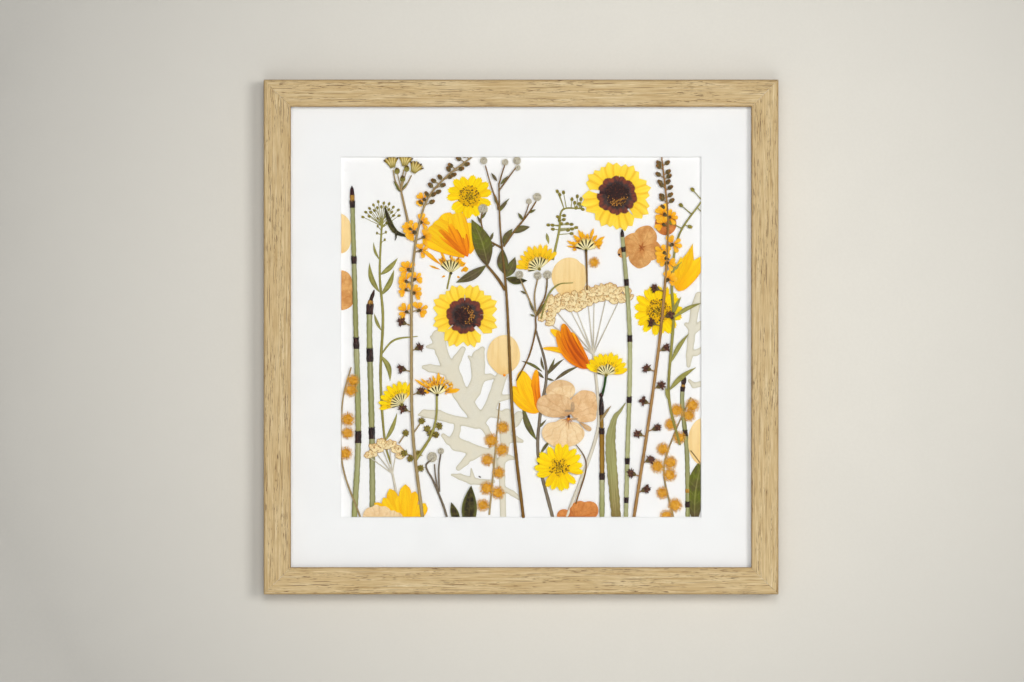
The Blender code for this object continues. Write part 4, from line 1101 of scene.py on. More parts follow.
def disc(piece, centre, radius, zones, count, rng, height=0.45, lift=0.25, ground="floret_gold",
         core_height=0.15):
    """Tiny florets packed in a spiral. Each zone is (how far out it reaches, its florets)."""
    dome(piece, centre, radius * 0.97, ground, height, lift, 0.3, 20, 5)
    for out, angle in spiral(count, rng, 0.12):
        px = radius * out * math.cos(angle)
        pz = radius * out * math.sin(angle)
        kinds = next(kinds for reach, kinds in zones if out <= reach + rng.uniform(-0.04, 0.04)
                     or reach >= 1.0)
        kind = kinds[int(rng.integers(len(kinds)))]
        up = lift + height * math.sqrt(max(0.0, 1 - out ** 2)) + core_height * (1 - out) - 0.06
        dome(piece, (centre[0] + px, centre[1] + pz), FLORET * rng.uniform(0.75, 1.15),
             kind, 0.16, up, rng.uniform(0, 1), 5, 3, rng.uniform(0.75, 1.0),
             rng.uniform(0, 180))


def rays(piece, centre, foot, radius, count, width, finish, rng, teeth=3, notch=0.10, start=0.0,
         shape="ray", spread=5.0, lift=0.05, crown=0.12, vary=0.05, round_end=0.16):
    """Petals all round a flower, overlapping in three levels."""
    for i in range(count):
        turn = start + 360 * i / count + rng.uniform(-spread, spread)
        reach = radius * rng.uniform(1 - vary, 1 + vary)
        up = lift + 0.09 * ((i * 2) % 3)
        blade(piece, polar(centre, foot, turn), polar(centre, reach, turn + rng.uniform(-3, 3)),
              width * rng.uniform(0.9, 1.1), finish, shape, bend=rng.uniform(-0.05, 0.05),
              rows=14, columns=13, lift=(up + 0.10, up), crown=crown, teeth=teeth, notch=notch,
              tint=rng.uniform(0.2, 0.8), end_round=round_end, seed=rng.uniform(0, 9))


FUZZ_HAIRS = 300
FUZZ_HEIGHT = 0.42
FUZZ_LIFT = 0.05
FUZZ_CORE = 0.62            # the dome's share of the ball's radius
FUZZ_THREAD = 0.17


def fuzz_ball(piece, centre, radius, rng):
    """A pressed fluffy ball: a low dome under a coat of fine hairs."""
    dome(piece, centre, radius * FUZZ_CORE, "mimosa", FUZZ_HEIGHT * 0.8, FUZZ_LIFT, 0.4, 18, 5,
         rng.uniform(0.92, 1.0), rng.uniform(0, 180), bumps=0.07)
    for out, angle in spiral(FUZZ_HAIRS, rng, 0.3):
        foot = radius * out * 0.80
        bend = angle + rng.uniform(-0.9, 0.9)
        long = radius * rng.uniform(0.14, 0.42) * (0.5 + 0.5 * out)
        base = (centre[0] + foot * math.cos(angle), centre[1] + foot * math.sin(angle))
        end = (base[0] + long * math.cos(bend), base[1] + long * math.sin(bend))
        up = FUZZ_LIFT + FUZZ_HEIGHT * math.sqrt(max(0.05, 1 - (out * 0.85) ** 2))
        kind = "mimosa_pale" if rng.uniform() < 0.40 else "mimosa"
        spike(piece, base, end, FUZZ_THREAD * (1.15 - 0.5 * out), kind,
              (up - 0.12, up + 0.10), rng.uniform(0, 1))


def grey_button(piece, centre, radius, rng, dark=0.45, lift=0.1):
    """A woolly seed button with a darker whorl in its middle."""
    dome(piece, centre, radius * 0.86, "fluff", 0.32, lift, 0.3, 16, 5,
         rng.uniform(0.88, 1.0), rng.uniform(0, 180), bumps=0.03)
    for out, angle in spiral(int(70 + 26 * radius * radius), rng, 0.3):
        foot = radius * out * 0.82
        swirl = angle + rng.uniform(0.2, 0.9)
        base = (centre[0] + foot * math.cos(angle), centre[1] + foot * math.sin(angle))
        long = radius * rng.uniform(0.14, 0.26)
        end = (base[0] + long * math.cos(swirl), base[1] + long * math.sin(swirl))
        up = lift + 0.33 * math.sqrt(max(0.05, 1 - (out * 0.85) ** 2))
        kind = "fluff_dark" if out < dark and rng.uniform() < 0.7 or rng.uniform() < 0.12 \
            else "fluff"
        spike(piece, base, end, 0.10, kind, (up - 0.12, up + 0.02), rng.uniform(0, 1))


def buttons(piece, places, rng, **looks):
    """Seed buttons, each as (x, z, radius)."""
    for x, z, radius in places:
        grey_button(piece, (x, z), radius, rng, **looks)


def bud(piece, centre, length, width, direction, rng, body="bud", tip="dark_bract"):
    """A small closed bud with pointed scales round its mouth."""
    foot = polar(centre, -length / 2, direction)
    head = polar(centre, length / 2, direction)
    blade(piece, foot, head, width, body, "oval", rows=8, columns=7,
          lift=(0.08, 0.1), crown=0.28, tint=rng.uniform(0.1, 0.9), seed=rng.uniform(0, 9))
    for _ in range(4):
        turn = direction + rng.uniform(-38, 38)
        start = between(foot, head, 0.55)
        end = polar(start, length * rng.uniform(0.4, 0.62), turn)
        blade(piece, start, end, width * 0.30, tip, "leaf", 0.35, rows=5, columns=3,
              lift=(0.26, 0.24), crown=0.05, tint=rng.uniform(0, 1))


PETALS = 5


def small_flower(piece, centre, size, direction, rng):
    """A little five-petalled flower pressed from one side, with its calyx towards the stem."""
    foot = polar(centre, size * 0.55, direction + 180)
    for i in range(PETALS):
        turn = direction + (i - (PETALS - 1) / 2) * rng.uniform(36, 48) + rng.uniform(-8, 8)
        blade(piece, polar(foot, size * 0.15, turn), polar(foot, size * rng.uniform(0.95, 1.2), turn),
              size * rng.uniform(0.52, 0.68), "agrimony", "petal", rows=9, columns=9,
              lift=(0.16, 0.08 + 0.07 * (i % 3)), crown=0.08, teeth=rng.integers(0, 3),
              notch=0.08, tint=rng.uniform(0.1, 0.9), ruffle=0.06, seed=rng.uniform(0, 9))
    back = polar(foot, size * 0.42, direction + 180)
    blade(piece, back, polar(foot, size * 0.18, direction), size * 0.5, "calyx", "petal",
          rows=7, columns=7, lift=(0.12, 0.30), crown=0.14, tint=rng.uniform(0.2, 0.9))
    for _ in range(4):
        turn = direction + rng.uniform(-50, 50)
        spike(piece, foot, polar(foot, size * 0.4, turn), 0.09, "dark_bract",
              (0.32, 0.36), rng.uniform(0, 1))


def seed_crown(piece, centre, size, direction, rng):
    """A ripe fruit: a grooved khaki cup with a crown of dark hooked bristles."""
    foot = polar(centre, -size * 0.9, direction)
    blade(piece, foot, centre, size * 0.95, "calyx", "petal", rows=7, columns=7,
          lift=(0.1, 0.15), crown=0.25, tint=rng.uniform(0.4, 0.9))
    dome(piece, centre, size * 0.46, "seed", 0.3, 0.12, 0.3, 10, 4)
    for _ in range(15):
        turn = direction + rng.uniform(-125, 125)
        blade(piece, polar(centre, size * 0.1, turn), polar(centre, size * rng.uniform(0.6, 1.0), turn),
              size * 0.26, "seed", "leaf", 0.3, rows=5, columns=3, lift=(0.3, 0.22),
              crown=0.06, tint=rng.uniform(0, 1))


def fan(piece, base, tips, width, finish, rng, teeth=2, notch=0.08, lift=0.06, shape="ray",
        foot=1.0, crown=0.12, round_end=0.16):
    """Petals from one base to each listed tip."""
    for i, tip in enumerate(tips):
        turn = bearing(base, tip)
        up = lift + 0.08 * ((i * 2) % 3)
        blade(piece, polar(base, foot, turn), tip, width * rng.uniform(0.88, 1.1), finish, shape,
              bend=rng.uniform(-0.05, 0.05), rows=16, columns=13, lift=(up + 0.06, up),
              crown=crown, teeth=teeth, notch=notch, tint=rng.uniform(0.15, 0.85),
              end_round=round_end, seed=rng.uniform(0, 9))


CUP_FOOT = 0.30             # the cup's width at its foot, as a share of its mouth
CUP_DROOP = 0.22            # how much shorter its outer ribs are


def calyx(piece, base, direction, length, width, rng, count, lift):
    """The ribbed cup under a flower seen from the side."""
    kinds = ("bract", "pale_bract")
    a = math.radians(direction)
    along, side = (math.cos(a), math.sin(a)), (-math.sin(a), math.cos(a))
    for i in range(count):
        t = 2 * i / (count - 1) - 1
        low = t * width * CUP_FOOT / 2
        high = t * width / 2
        reach = length * (1 - CUP_DROOP * t * t) * rng.uniform(0.94, 1.04)
        up = lift + 0.04 * (i % 2)
        foot = (base[0] + side[0] * low, base[1] + side[1] * low)
        tip = (base[0] + along[0] * reach + side[0] * high,
               base[1] + along[1] * reach + side[1] * high)
        blade(piece, foot, tip, width / count * 1.5, kinds[i % len(kinds)], "petal",
              bend=-0.12 * t, rows=10, columns=7, lift=(up, up),
              crown=0.10, tint=rng.uniform(0.2, 0.8), seed=rng.uniform(0, 9))


def ribbed_fan(piece, base, reach, start, end, count, rng, lift=0.28, florets=True):
    """The underside of a daisy seen from the side: cream and dark ribs that fan from its base,
    with a row of small golden florets at their ends."""
    step = (end - start) / count
    wide = 2 * reach * math.sin(math.radians(step / 2))
    for i in range(count):
        turn = start + step * (i + 0.5)
        long = reach * rng.uniform(0.90, 1.04)
        blade(piece, polar(base, 0.4, turn), polar(base, long, turn), wide * 1.2,
              "cream_rib", "petal", rows=9, columns=9,
              lift=(lift + 0.03 * (i % 2), lift + 0.03 * (i % 2)), crown=0.10,
              tint=rng.uniform(0.3, 0.8), seed=rng.uniform(0, 9))
        edge = turn + step / 2
        blade(piece, polar(base, 0.8, edge), polar(base, long * rng.uniform(0.9, 1.05), edge),
              max(0.75, wide * 0.36), "dark_rib", "leaf", 0.7, rows=8, columns=5,
              lift=(lift + 0.12, lift + 0.10), crown=0.06, tint=rng.uniform(0, 1))
        if florets:
            near = polar(base, long * 0.96, turn)
            blade(piece, near, polar(near, 2.3, turn + rng.uniform(-15, 15)), 1.9,
                  "outlined_floret", "petal", rows=7, columns=7,
                  lift=(lift + 0.08, lift + 0.05), crown=0.08, tint=rng.uniform(0.3, 0.9))
    dome(piece, base, 1.0, "dark_rib", 0.2, lift + 0.05)


def hairs_along(piece, route, count, long, rng, finish, width, thread):
    """Fine hairs standing off a stem on both sides."""
    path, _ = route_points(route, count)
    for i, (x, z) in enumerate(path[1:-1]):
        side = 1 if i % 2 else -1
        spike(piece, (x + side * width * 0.4, z),
              (x + side * (width * 0.4 + rng.uniform(0.4, 1.0) * long), z + rng.uniform(-0.2, 0.9)),
              thread, finish, (0.15, 0.15), rng.uniform(0, 1))


def leaves(piece, finish, shapes, **looks):
    """Leaves of one finish, each as its base, tip and width, and a bend if it has one."""
    for base, tip, wide, *bend in shapes:
        blade(piece, base, tip, wide, finish, bend=sum(bend), **looks)


def pressed(node, slot, seed):
    """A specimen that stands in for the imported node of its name."""
    return Piece("pressed_" + node, [node], slot), np.random.default_rng(seed)


def loose(name, number, slot, seed):
    """A specimen that only the looks have, on its own layer."""
    return Piece("pressed_" + name, [], slot, layer(number)), np.random.default_rng(seed)


# ---------------------------------------------------------------- horsetails

ROUTE_A = [(-106.5, 95), (-104, 5), (-102.5, -62), (-105, -114)]
ROUTE_B = [(-92.5, 30), (-95.5, 12), (-94, -60), (-93.5, -114)]
ROUTE_C = [(63.5, 68), (68.5, 0), (67, -75), (66, -114)]
ROUTE_D = [(50.5, -35.5), (51, -75), (51, -114)]
ROUTE_E = [(103, -23.5), (101.5, -41), (104.5, -73), (105, -114)]


HORSETAILS = (
    ("horsetail_far_left", 101, ROUTE_A, "horsetail",
     [(95.3, 89.0, "tip", 2.7), (89.4, 85.0, "amber", 2.9), (85.4, 81.4, "sheath", 3.4),
      (82.0, 50.0, "stem", 2.9), (50.5, 46.1, "sheath", 3.3), (46.6, -0.4, "stem", 3.1),
      (-0.6, -7.5, "sheath", 3.6), (-7.0, -59.4, "stem", 3.5), (-59.5, -66.8, "sheath", 3.9),
      (-66.4, -113.9, "stem", 3.6)]),
    ("horsetail_left", 102, ROUTE_B, "horsetail",
     [(29.7, 22.6, "black_tip", 2.6), (23.0, 20.0, "amber", 3.6), (20.4, 14.2, "sheath", 4.3),
      (14.8, -7.3, "stem", 3.6), (-7.5, -15.7, "sheath", 4.1), (-15.2, -57.0, "stem", 3.7),
      (-57.3, -64.2, "sheath", 4.0), (-63.9, -113.9, "stem", 3.6)]),
    ("horsetail_tall_right", 103, ROUTE_C, "horsetail_pale",
     [(67.8, 63.0, "black_tip", 2.5), (63.4, 56.4, "stem", 2.4), (56.4, 53.5, "sheath", 2.7),
      (53.8, 36.1, "stem", 2.6), (36.1, 32.2, "sheath", 3.0), (32.5, 0.8, "stem", 2.7),
      (0.8, -3.1, "sheath", 3.1), (-2.8, -37.9, "stem", 2.8), (-37.9, -41.6, "sheath", 3.1),
      (-41.2, -76.6, "stem", 2.8), (-76.6, -80.2, "sheath", 3.1), (-79.9, -101.2, "stem", 2.8),
      (-101.2, -104.6, "sheath", 3.0), (-104.2, -113.9, "stem", 2.7)]),
    ("horsetail_short_right", 104, ROUTE_D, "horsetail",
     [(-35.6, -49.2, "black_tip", 3.2), (-48.8, -57.8, "amber_stem", 2.4),
      (-57.6, -61.4, "sheath", 3.4), (-61.2, -86.2, "amber_stem", 3.1),
      (-86.0, -90.0, "sheath", 3.4), (-89.8, -113.9, "stem", 3.2)]),
    ("horsetail_far_right", 105, ROUTE_E, "horsetail",
     [(-23.8, -30.2, "bulb", 3.0), (-30.0, -31.9, "amber", 2.6), (-31.7, -34.4, "sheath", 3.0),
      (-34.2, -58.9, "stem", 2.8), (-58.9, -62.5, "sheath", 3.1), (-62.2, -95.9, "stem", 2.9),
      (-95.7, -98.1, "amber", 2.9), (-98.0, -104.0, "stem", 2.8), (-104.0, -107.4, "sheath", 3.1),
      (-107.1, -113.9, "stem", 2.8)]),
)


def make_horsetails():
    for node, seed, route, green, bands in HORSETAILS:
        piece, rng = pressed(node, "horsetail", seed)
        horsetail(piece, route, bands, rng, green)
        piece.build(clip=True)


# ---------------------------------------------------------------- round flowers

DAISY_EYE = [(0.33, ["floret_brown", "floret_dark", "floret_olive"]),
             (0.72, ["floret_gold", "floret_brown", "floret_gold", "floret_dark"]),
             (1.0, ["floret_gold", "floret_gold", "floret_dark"])]


def make_daisies():
    full = dict(height=0.45, lift=0.25, core_height=0.15)
    flat = dict(height=0.2, lift=0.16, core_height=0.05)
    for node, centre, foot, reach, count, wide, start, lift, crown, eye, florets, form, seed in (
            ("daisy_upper_left", (-32.5, 88.5), 3.5, 14.6, 14, 5.5, 7, 0.05, 0.12, 7.2, 210, full,
             201),
            ("daisy_right", (86.5, 16.5), 4.0, 16.2, 17, 5.4, 3, 0.05, 0.12, 8.0, 240, full, 202),
            ("daisy_lower_centre", (24, -82), 3.4, 15.6, 16, 4.9, 5, 0.0, 0.08, 6.7, 210, flat,
             203)):
        piece, rng = pressed(node, "yellow_petal", seed)
        rays(piece, centre, foot, reach, count, wide, "bright_daisy", rng, 3, 0.09, start,
             lift=lift, crown=crown)
        disc(piece, centre, eye, DAISY_EYE, florets, rng, **form)
        piece.build(clip=True)


def make_coreopsis():
    for node, centre, radius, head, start, specks, seed in (
            ("coreopsis_upper_right", (60.4, 89.6), 22.4, 7.9, 14, -85, 211),
            ("coreopsis_left", (-35.4, 13.6), 21.4, 6.8, 66, 0, 212)):
        piece, rng = pressed(node, "yellow_petal", seed)
        rays(piece, centre, head * 0.62, radius, 8, radius * 0.64, "coreopsis", rng, 3, 0.13,
             start, "wedge", spread=4.0, vary=0.06, round_end=0.26, lift=0.0, crown=0.1)
        dome(piece, centre, head * 1.42, "maroon", 0.04, 0.0, 0.5, 28, 3)
        disc(piece, centre, head, [(1.0, ["floret_dark", "floret_dark", "floret_maroon"])], 220,
             rng, ground="floret_dark", height=0.25)
        for _ in range(70):
            spot = polar(centre, head * rng.uniform(0.42, 0.92), specks + rng.normal(0, 42))
            dome(piece, spot, rng.uniform(0.22, 0.42), "speck", 0.12, 0.58,
                 rng.uniform(0, 1), 5, 3)
        piece.build(clip=True)


def arc_tips(base, radius, start, end, count, rng):
    """Petal tips along an arc about the head's base, a little uneven."""
    return [polar(base, radius * rng.uniform(0.93, 1.05), start + (end - start) * i / (count - 1))
            for i in range(count)]


def make_side_daisies():
    heads = (("side_daisy_upper", "warm_daisy", (11.6, 42.8), 16.0, 45, 174, 10, 8.4, 42, 190, 221),
             ("side_daisy_right", "bright_daisy", (53.6, -24.0), 14.8, 16, 152, 10, 7.2, 14, 166,
              222),
             ("side_daisy_left", "bright_daisy", (-75.0, -42.6), 15.4, 66, 190, 9, 7.8, 62, 196,
              223))
    for node, finish, base, radius, start, end, petals, reach, low, high, seed in heads:
        piece, rng = pressed(node, "yellow_petal", seed)
        fan(piece, base, arc_tips(base, radius, start, end, petals, rng), 3.6, finish, rng, 3,
            0.10, foot=4.0, lift=0.0, crown=0.08)
        ribbed_fan(piece, base, reach, low, high, 8, rng, lift=0.22)
        dome(piece, base, 1.1, "bud_green", 0.3, 0.30)
        if node == "side_daisy_right":
            strand(piece, [(53.4, -24.2), (52.6, -30), (51.2, -36)], [1.7, 1.4, 1.7],
                   "dark_green_stem", 0.3)
            dome(piece, (50.6, -36.4), 1.4, "sheath", 0.3)
        piece.build(clip=True)


def ragged_head(piece, base, reach, start, end, rays_at, rng, count=6):
    """A half-open daisy: a ribbed cup, a rough golden tuft and short uneven rays."""
    for tip, wide in rays_at:
        turn = bearing(base, tip)
        blade(piece, polar(base, reach * 0.7, turn), tip, wide, "golden_ray", "leaf", 0.6,
              bend=rng.uniform(-0.06, 0.06), rows=10, columns=7, lift=(0.12, 0.08),
              tint=rng.uniform(0.1, 0.9), ruffle=0.1, seed=rng.uniform(0, 9))
    for i in range(34):
        turn = rng.uniform(start - 8, end + 8)
        foot = polar(base, reach * rng.uniform(0.72, 1.0), turn)
        kind = ("golden_ray", "golden_ray", "tuft")[i % 3]
        blade(piece, foot, polar(foot, rng.uniform(1.6, 3.6), turn + rng.uniform(-20, 20)),
              rng.uniform(0.7, 1.3), kind, "leaf", 0.5, rows=6, columns=5,
              lift=(0.26, 0.30), crown=0.08, tint=rng.uniform(0, 1))
    ribbed_fan(piece, base, reach, start, end, count, rng, florets=False)


def make_ragged_daisies():
    """Half-closed daisies whose narrow rays stand out of a ribbed cup."""
    piece, rng = pressed("ragged_daisy_upper_left", "yellow_petal", 231)
    rays_at = [((-62.4, 55.6), 2.6), ((-51.4, 55.8), 1.7), ((-58.0, 45.2), 1.3),
               ((-50.8, 40.2), 1.7), ((-40.4, 38.2), 1.3), ((-33.0, 43.2), 3.4),
               ((-35.6, 47.0), 3.4), ((-52.0, 49.6), 1.6), ((-36.8, 41.8), 1.8),
               ((-47.6, 38.6), 1.2)]
    ragged_head(piece, (-44.2, 40.2), 9.4, 38, 142, rays_at, rng)
    strand(piece, [(-44.2, 41), (-45.4, 36), (-46.6, 30.2)], [1.6, 1.2, 1.1], "green_stem")
    piece.build(clip=True)
    piece, rng = pressed("ragged_daisy_centre", "yellow_petal", 232)
    rays_at = [((28.8, 60.8), 1.6), ((28.8, 57.4), 1.3), ((32.4, 55.0), 1.5),
               ((32.8, 64.4), 2.2), ((36.0, 67.8), 2.0), ((38.4, 66.8), 2.0),
               ((42.0, 65.2), 2.4), ((45.8, 68.6), 2.0), ((48.0, 64.2), 2.2),
               ((52.8, 63.4), 2.2), ((51.8, 60.2), 2.4), ((46.6, 55.8), 1.6)]
    ragged_head(piece, (40.9, 54.6), 7.8, 18, 162, rays_at, rng, 6)
    strand(piece, [(40.9, 55.2), (41.4, 42), (41.6, 29.5)], [1.7, 1.1, 1.0], "brown_stem")
    piece.build(clip=True)
    piece, rng = pressed("ragged_daisy_left", "yellow_petal", 233)
    rays_at = [((-67.2, -26.4), 1.7), ((-63.2, -26.0), 1.7), ((-64.2, -32.2), 1.9),
               ((-60.4, -34.4), 1.9), ((-46.8, -35.6), 1.6), ((-38.4, -33.0), 2.8),
               ((-42.6, -31.0), 1.8), ((-52.0, -22.2), 2.4), ((-55.6, -24.0), 1.8),
               ((-48.4, -24.6), 1.8)]
    for i in range(60):
        turn = rng.uniform(25, 155)
        spot = polar((-52.4, -36.0), rng.uniform(6.0, 10.8), turn)
        blade(piece, spot, polar(spot, rng.uniform(0.9, 2.0), turn + rng.uniform(-60, 60)), 0.9,
              ("tuft", "golden_ray", "mimosa_pale")[i % 3], "leaf", 0.5, rows=5, columns=5,
              lift=(0.2, 0.3), crown=0.08, tint=rng.uniform(0, 1))
    ragged_head(piece, (-52.8, -36.4), 7.0, 28, 152, rays_at, rng, 5)
    stem = [(-53, -36), (-53.2, -48.5), (-54.8, -57), (-57.6, -64), (-62, -71), (-66.5, -78)]
    strand(piece, stem, [1.5, 1.3, 1.6, 1.8, 1.6], "green_stem")
    for x, z, root in ((-62.6, -53.0, (-68, -61)), (-51.6, -56.0, (-54.8, -57)),
                       (-59.0, -57.8, (-56, -60.5)), (-56.8, -60.8, (-57, -62.5)),
                       (-53.6, -61.6, (-56, -62.5)), (-72.6, -60.6, (-77, -67)),
                       (-73.4, -73.2, (-66, -76)), (-69.6, -76.4, (-66, -76)),
                       (-64.6, -73.4, (-66.2, -77)), (-63.4, -82.6, (-65.6, -86))):
        turn = bearing(root, (x, z))
        strand(piece, [root, between(root, (x, z), 0.85)], [0.9, 0.8], "khaki_stem", 0.22)
        seed_head(piece, (x, z), 2.3, turn, rng)
    piece.build(clip=True)


def seed_head(piece, centre, radius, direction, rng):
    """A small round olive head crowned with dark brown tips."""
    dome(piece, centre, radius * 0.82, "bud_green", 0.32, 0.08, rng.uniform(0, 1),
         12, 4, 1.0, 0.0, bumps=0.06)
    for i in range(11):
        turn = direction + (i - 5) * 24 + rng.uniform(-8, 8)
        foot = polar(centre, radius * rng.uniform(0.25, 0.55), turn)
        blade(piece, foot, polar(foot, radius * rng.uniform(0.55, 0.85), turn), radius * 0.34,
              ("dark_bract", "bract")[i % 2], "leaf", 0.4, rows=5, columns=5,
              lift=(0.34, 0.2), crown=0.06, tint=rng.uniform(0, 1))


def make_folded_flowers():
    piece, rng = pressed("folded_flower_upper_left", "yellow_petal", 241)
    base = (-33.5, 50.5)
    tips = [(-61.5, 63.0), (-58.5, 68.5), (-54.5, 72.5), (-49.0, 77.5), (-41.5, 78.0),
            (-33.0, 72.0)]
    fan(piece, base, tips, 11.5, "yellow_petal", rng, 0, 0, foot=2.0, round_end=0.05)
    for tip, wide in (((-52.5, 67.0), 8.0), ((-44.5, 71.5), 8.5), ((-37.0, 66.0), 8.0)):
        blade(piece, base, tip, wide, "orange_streaked", "petal", rows=18, columns=9,
              lift=(0.34, 0.28), crown=0.12, tint=rng.uniform(0.3, 0.7), seed=rng.uniform(0, 9))
    piece.build(clip=True)
    piece, rng = pressed("folded_flower_right", "orange_petal", 242)
    for base, tip, wide, finish, bend, up in (
            ((40.0, -17.0), (13.6, -7.0), 3.6, "yellow_petal", -0.10, 0.02),
            ((38.5, -12.0), (18.6, 4.8), 6.0, "yellow_petal", -0.04, 0.08),
            ((42.6, -20.0), (31.2, 3.0), 8.6, "orange_streaked", 0.06, 0.14),
            ((42.6, -20.0), (22.6, 3.8), 8.4, "orange_streaked", 0.10, 0.20),
            ((42.6, -20.0), (26.2, 8.4), 8.6, "deep_orange", 0.08, 0.28)):
        blade(piece, base, tip, wide, finish, "oval", bend=bend, rows=20, columns=13,
              lift=(up, up), crown=0.14, tint=rng.uniform(0.3, 0.7), seed=rng.uniform(0, 9))
    strand(piece, [(41.6, -18.6), (43.6, -20.6), (46.0, -21.4)], [1.6, 1.0, 0.6],
           "orange_streaked", 0.25)
    piece.build(clip=True)
    piece, rng = pressed("yellow_petals_centre", "yellow_petal", 243)
    for tip, wide, finish, up in (((-6.4, -31.6), 10.0, "yellow_petal", 0.02),
                                  ((-0.4, -21.4), 11.5, "yellow_petal", 0.10),
                                  ((9.6, -20.4), 5.6, "orange_streaked", 0.18)):
        blade(piece, (12.0, -47.2), tip, wide, finish, "oval", bend=0.06, rows=22,
              columns=13, lift=(up, up), crown=0.16, tint=rng.uniform(0.3, 0.7),
              seed=rng.uniform(0, 9))
    piece.build(clip=True)
    piece, rng = pressed("yellow_petals_lower_left", "yellow_petal", 244)
    for tip, wide, up in (((-92.4, -104.2), 8.0, 0.0), ((-86.8, -101.0), 8.5, 0.08),
                          ((-82.8, -95.4), 9.0, 0.02), ((-77.0, -99.6), 8.0, 0.12),
                          ((-60.2, -104.6), 9.5, 0.02), ((-66.6, -97.0), 8.5, 0.10),
                          ((-72.8, -92.6), 9.5, 0.18)):
        blade(piece, (-72.0, -124.0), tip, wide, "yellow_petal", "petal", bend=0.02,
              rows=22, columns=13, lift=(up, up), crown=0.14, teeth=0, end_round=0.03,
              tint=rng.uniform(0.2, 0.8), seed=rng.uniform(0, 9))
    outline_petal(piece, (-90.2, -113.4), oval(9.5, 8.0, (75, 18, -1.6), (120, 16, -1.2)),
                  "pansy_pale", rng, foot=(0.1, -0.9), lift=0.28)
    outline_petal(piece, (-80.6, -114.6), oval(6.4, 5.4, (60, 18, -1.0)), "pansy_pale", rng,
                  foot=(0.1, -0.9), lift=0.30, tint=0.3)
    piece.build(clip=True)
    piece, rng = loose("yellow_petals_far_right", 2, "yellow_petal", 245)
    fan(piece, (98.6, 28.0), [(100.8, 51.0), (116.5, 50.5), (108.2, 59.0)], 7.6,
        "yellow_petal", rng, 0, 0, foot=1.0, shape="oval")
    fan(piece, (99.5, 30.0), [(105.5, 54.0), (113.5, 51.0)], 8.0, "yellow_petal", rng, 0, 0,
        foot=1.0, shape="petal")
    piece.build(clip=True)


# ---------------------------------------------------------------- single petals and florets

def outline_petal(piece, centre, outline, finish, rng, lift=0.06, thin=0.07, rings=9, crown=0.12,
                  tint=0.5, foot=(0.0, -1.0), wrinkle=0.05):
    """A flat petal inside a closed outline of (angle in degrees, radius) pairs. Its veins fan
    out from the foot."""
    count = 48
    angle = np.linspace(0, 360, count, endpoint=False)
    turns = [a for a, r in outline]
    reach = [r for a, r in outline]
    edge = np.interp(angle, turns + [turns[0] + 360], reach + [reach[0]], period=360)
    smooth = (np.roll(edge, 1) + 2 * edge + np.roll(edge, -1)) / 4
    part = np.linspace(0.04, 1, rings)
    a = np.radians(angle)
    x = centre[0] + part[:, None] * smooth[None, :] * np.cos(a)[None, :]
    z = centre[1] + part[:, None] * smooth[None, :] * np.sin(a)[None, :]
    wave = wrinkle * (np.sin(x * 1.1 + z * 0.6) + np.sin(x * 0.5 - z * 1.3 + 2))
    h = lift + crown * (1 - part[:, None] ** 2) + wave + 0.1
    front = np.stack([x, h + thin, z], 2)
    back = np.stack([x, h, z], 2)
    points = np.concatenate([front, back[::-1]], 0)
    largest = max(reach)
    base = (centre[0] + foot[0] * largest, centre[1] + foot[1] * largest)
    dx, dz = x - base[0], z - base[1]
    facing = math.atan2(-foot[1], -foot[0])
    bearing = (np.arctan2(dz, dx) - facing + math.pi) % (2 * math.pi) - math.pi
    u = 0.5 + bearing / 2.6
    v = np.hypot(dx, dz) / (2 * largest)
    uv = np.stack([u, v], 2)
    metric = np.stack([x, z], 2) + rng.uniform(0, 50)
    start = piece.grid(points, np.concatenate([uv, uv[::-1]], 0),
                       np.concatenate([metric, metric[::-1]], 0), finish, tint, wrap=True)
    piece.cap(start, count)
    piece.cap(start + (2 * rings - 1) * count, count)


def oval(a, b, *bumps):
    """An outline with half widths a and b. Each bump is (angle, half angle, change)."""
    pairs = []
    for angle in range(0, 360, 10):
        c, s = math.cos(math.radians(angle)), math.sin(math.radians(angle))
        radius = a * b / math.hypot(b * c, a * s)
        for middle, half, change in bumps:
            off = abs((angle - middle + 180) % 360 - 180)
            if off < half:
                radius += change * (0.5 + 0.5 * math.cos(math.pi * off / half))
        pairs.append((angle, radius))
    return pairs


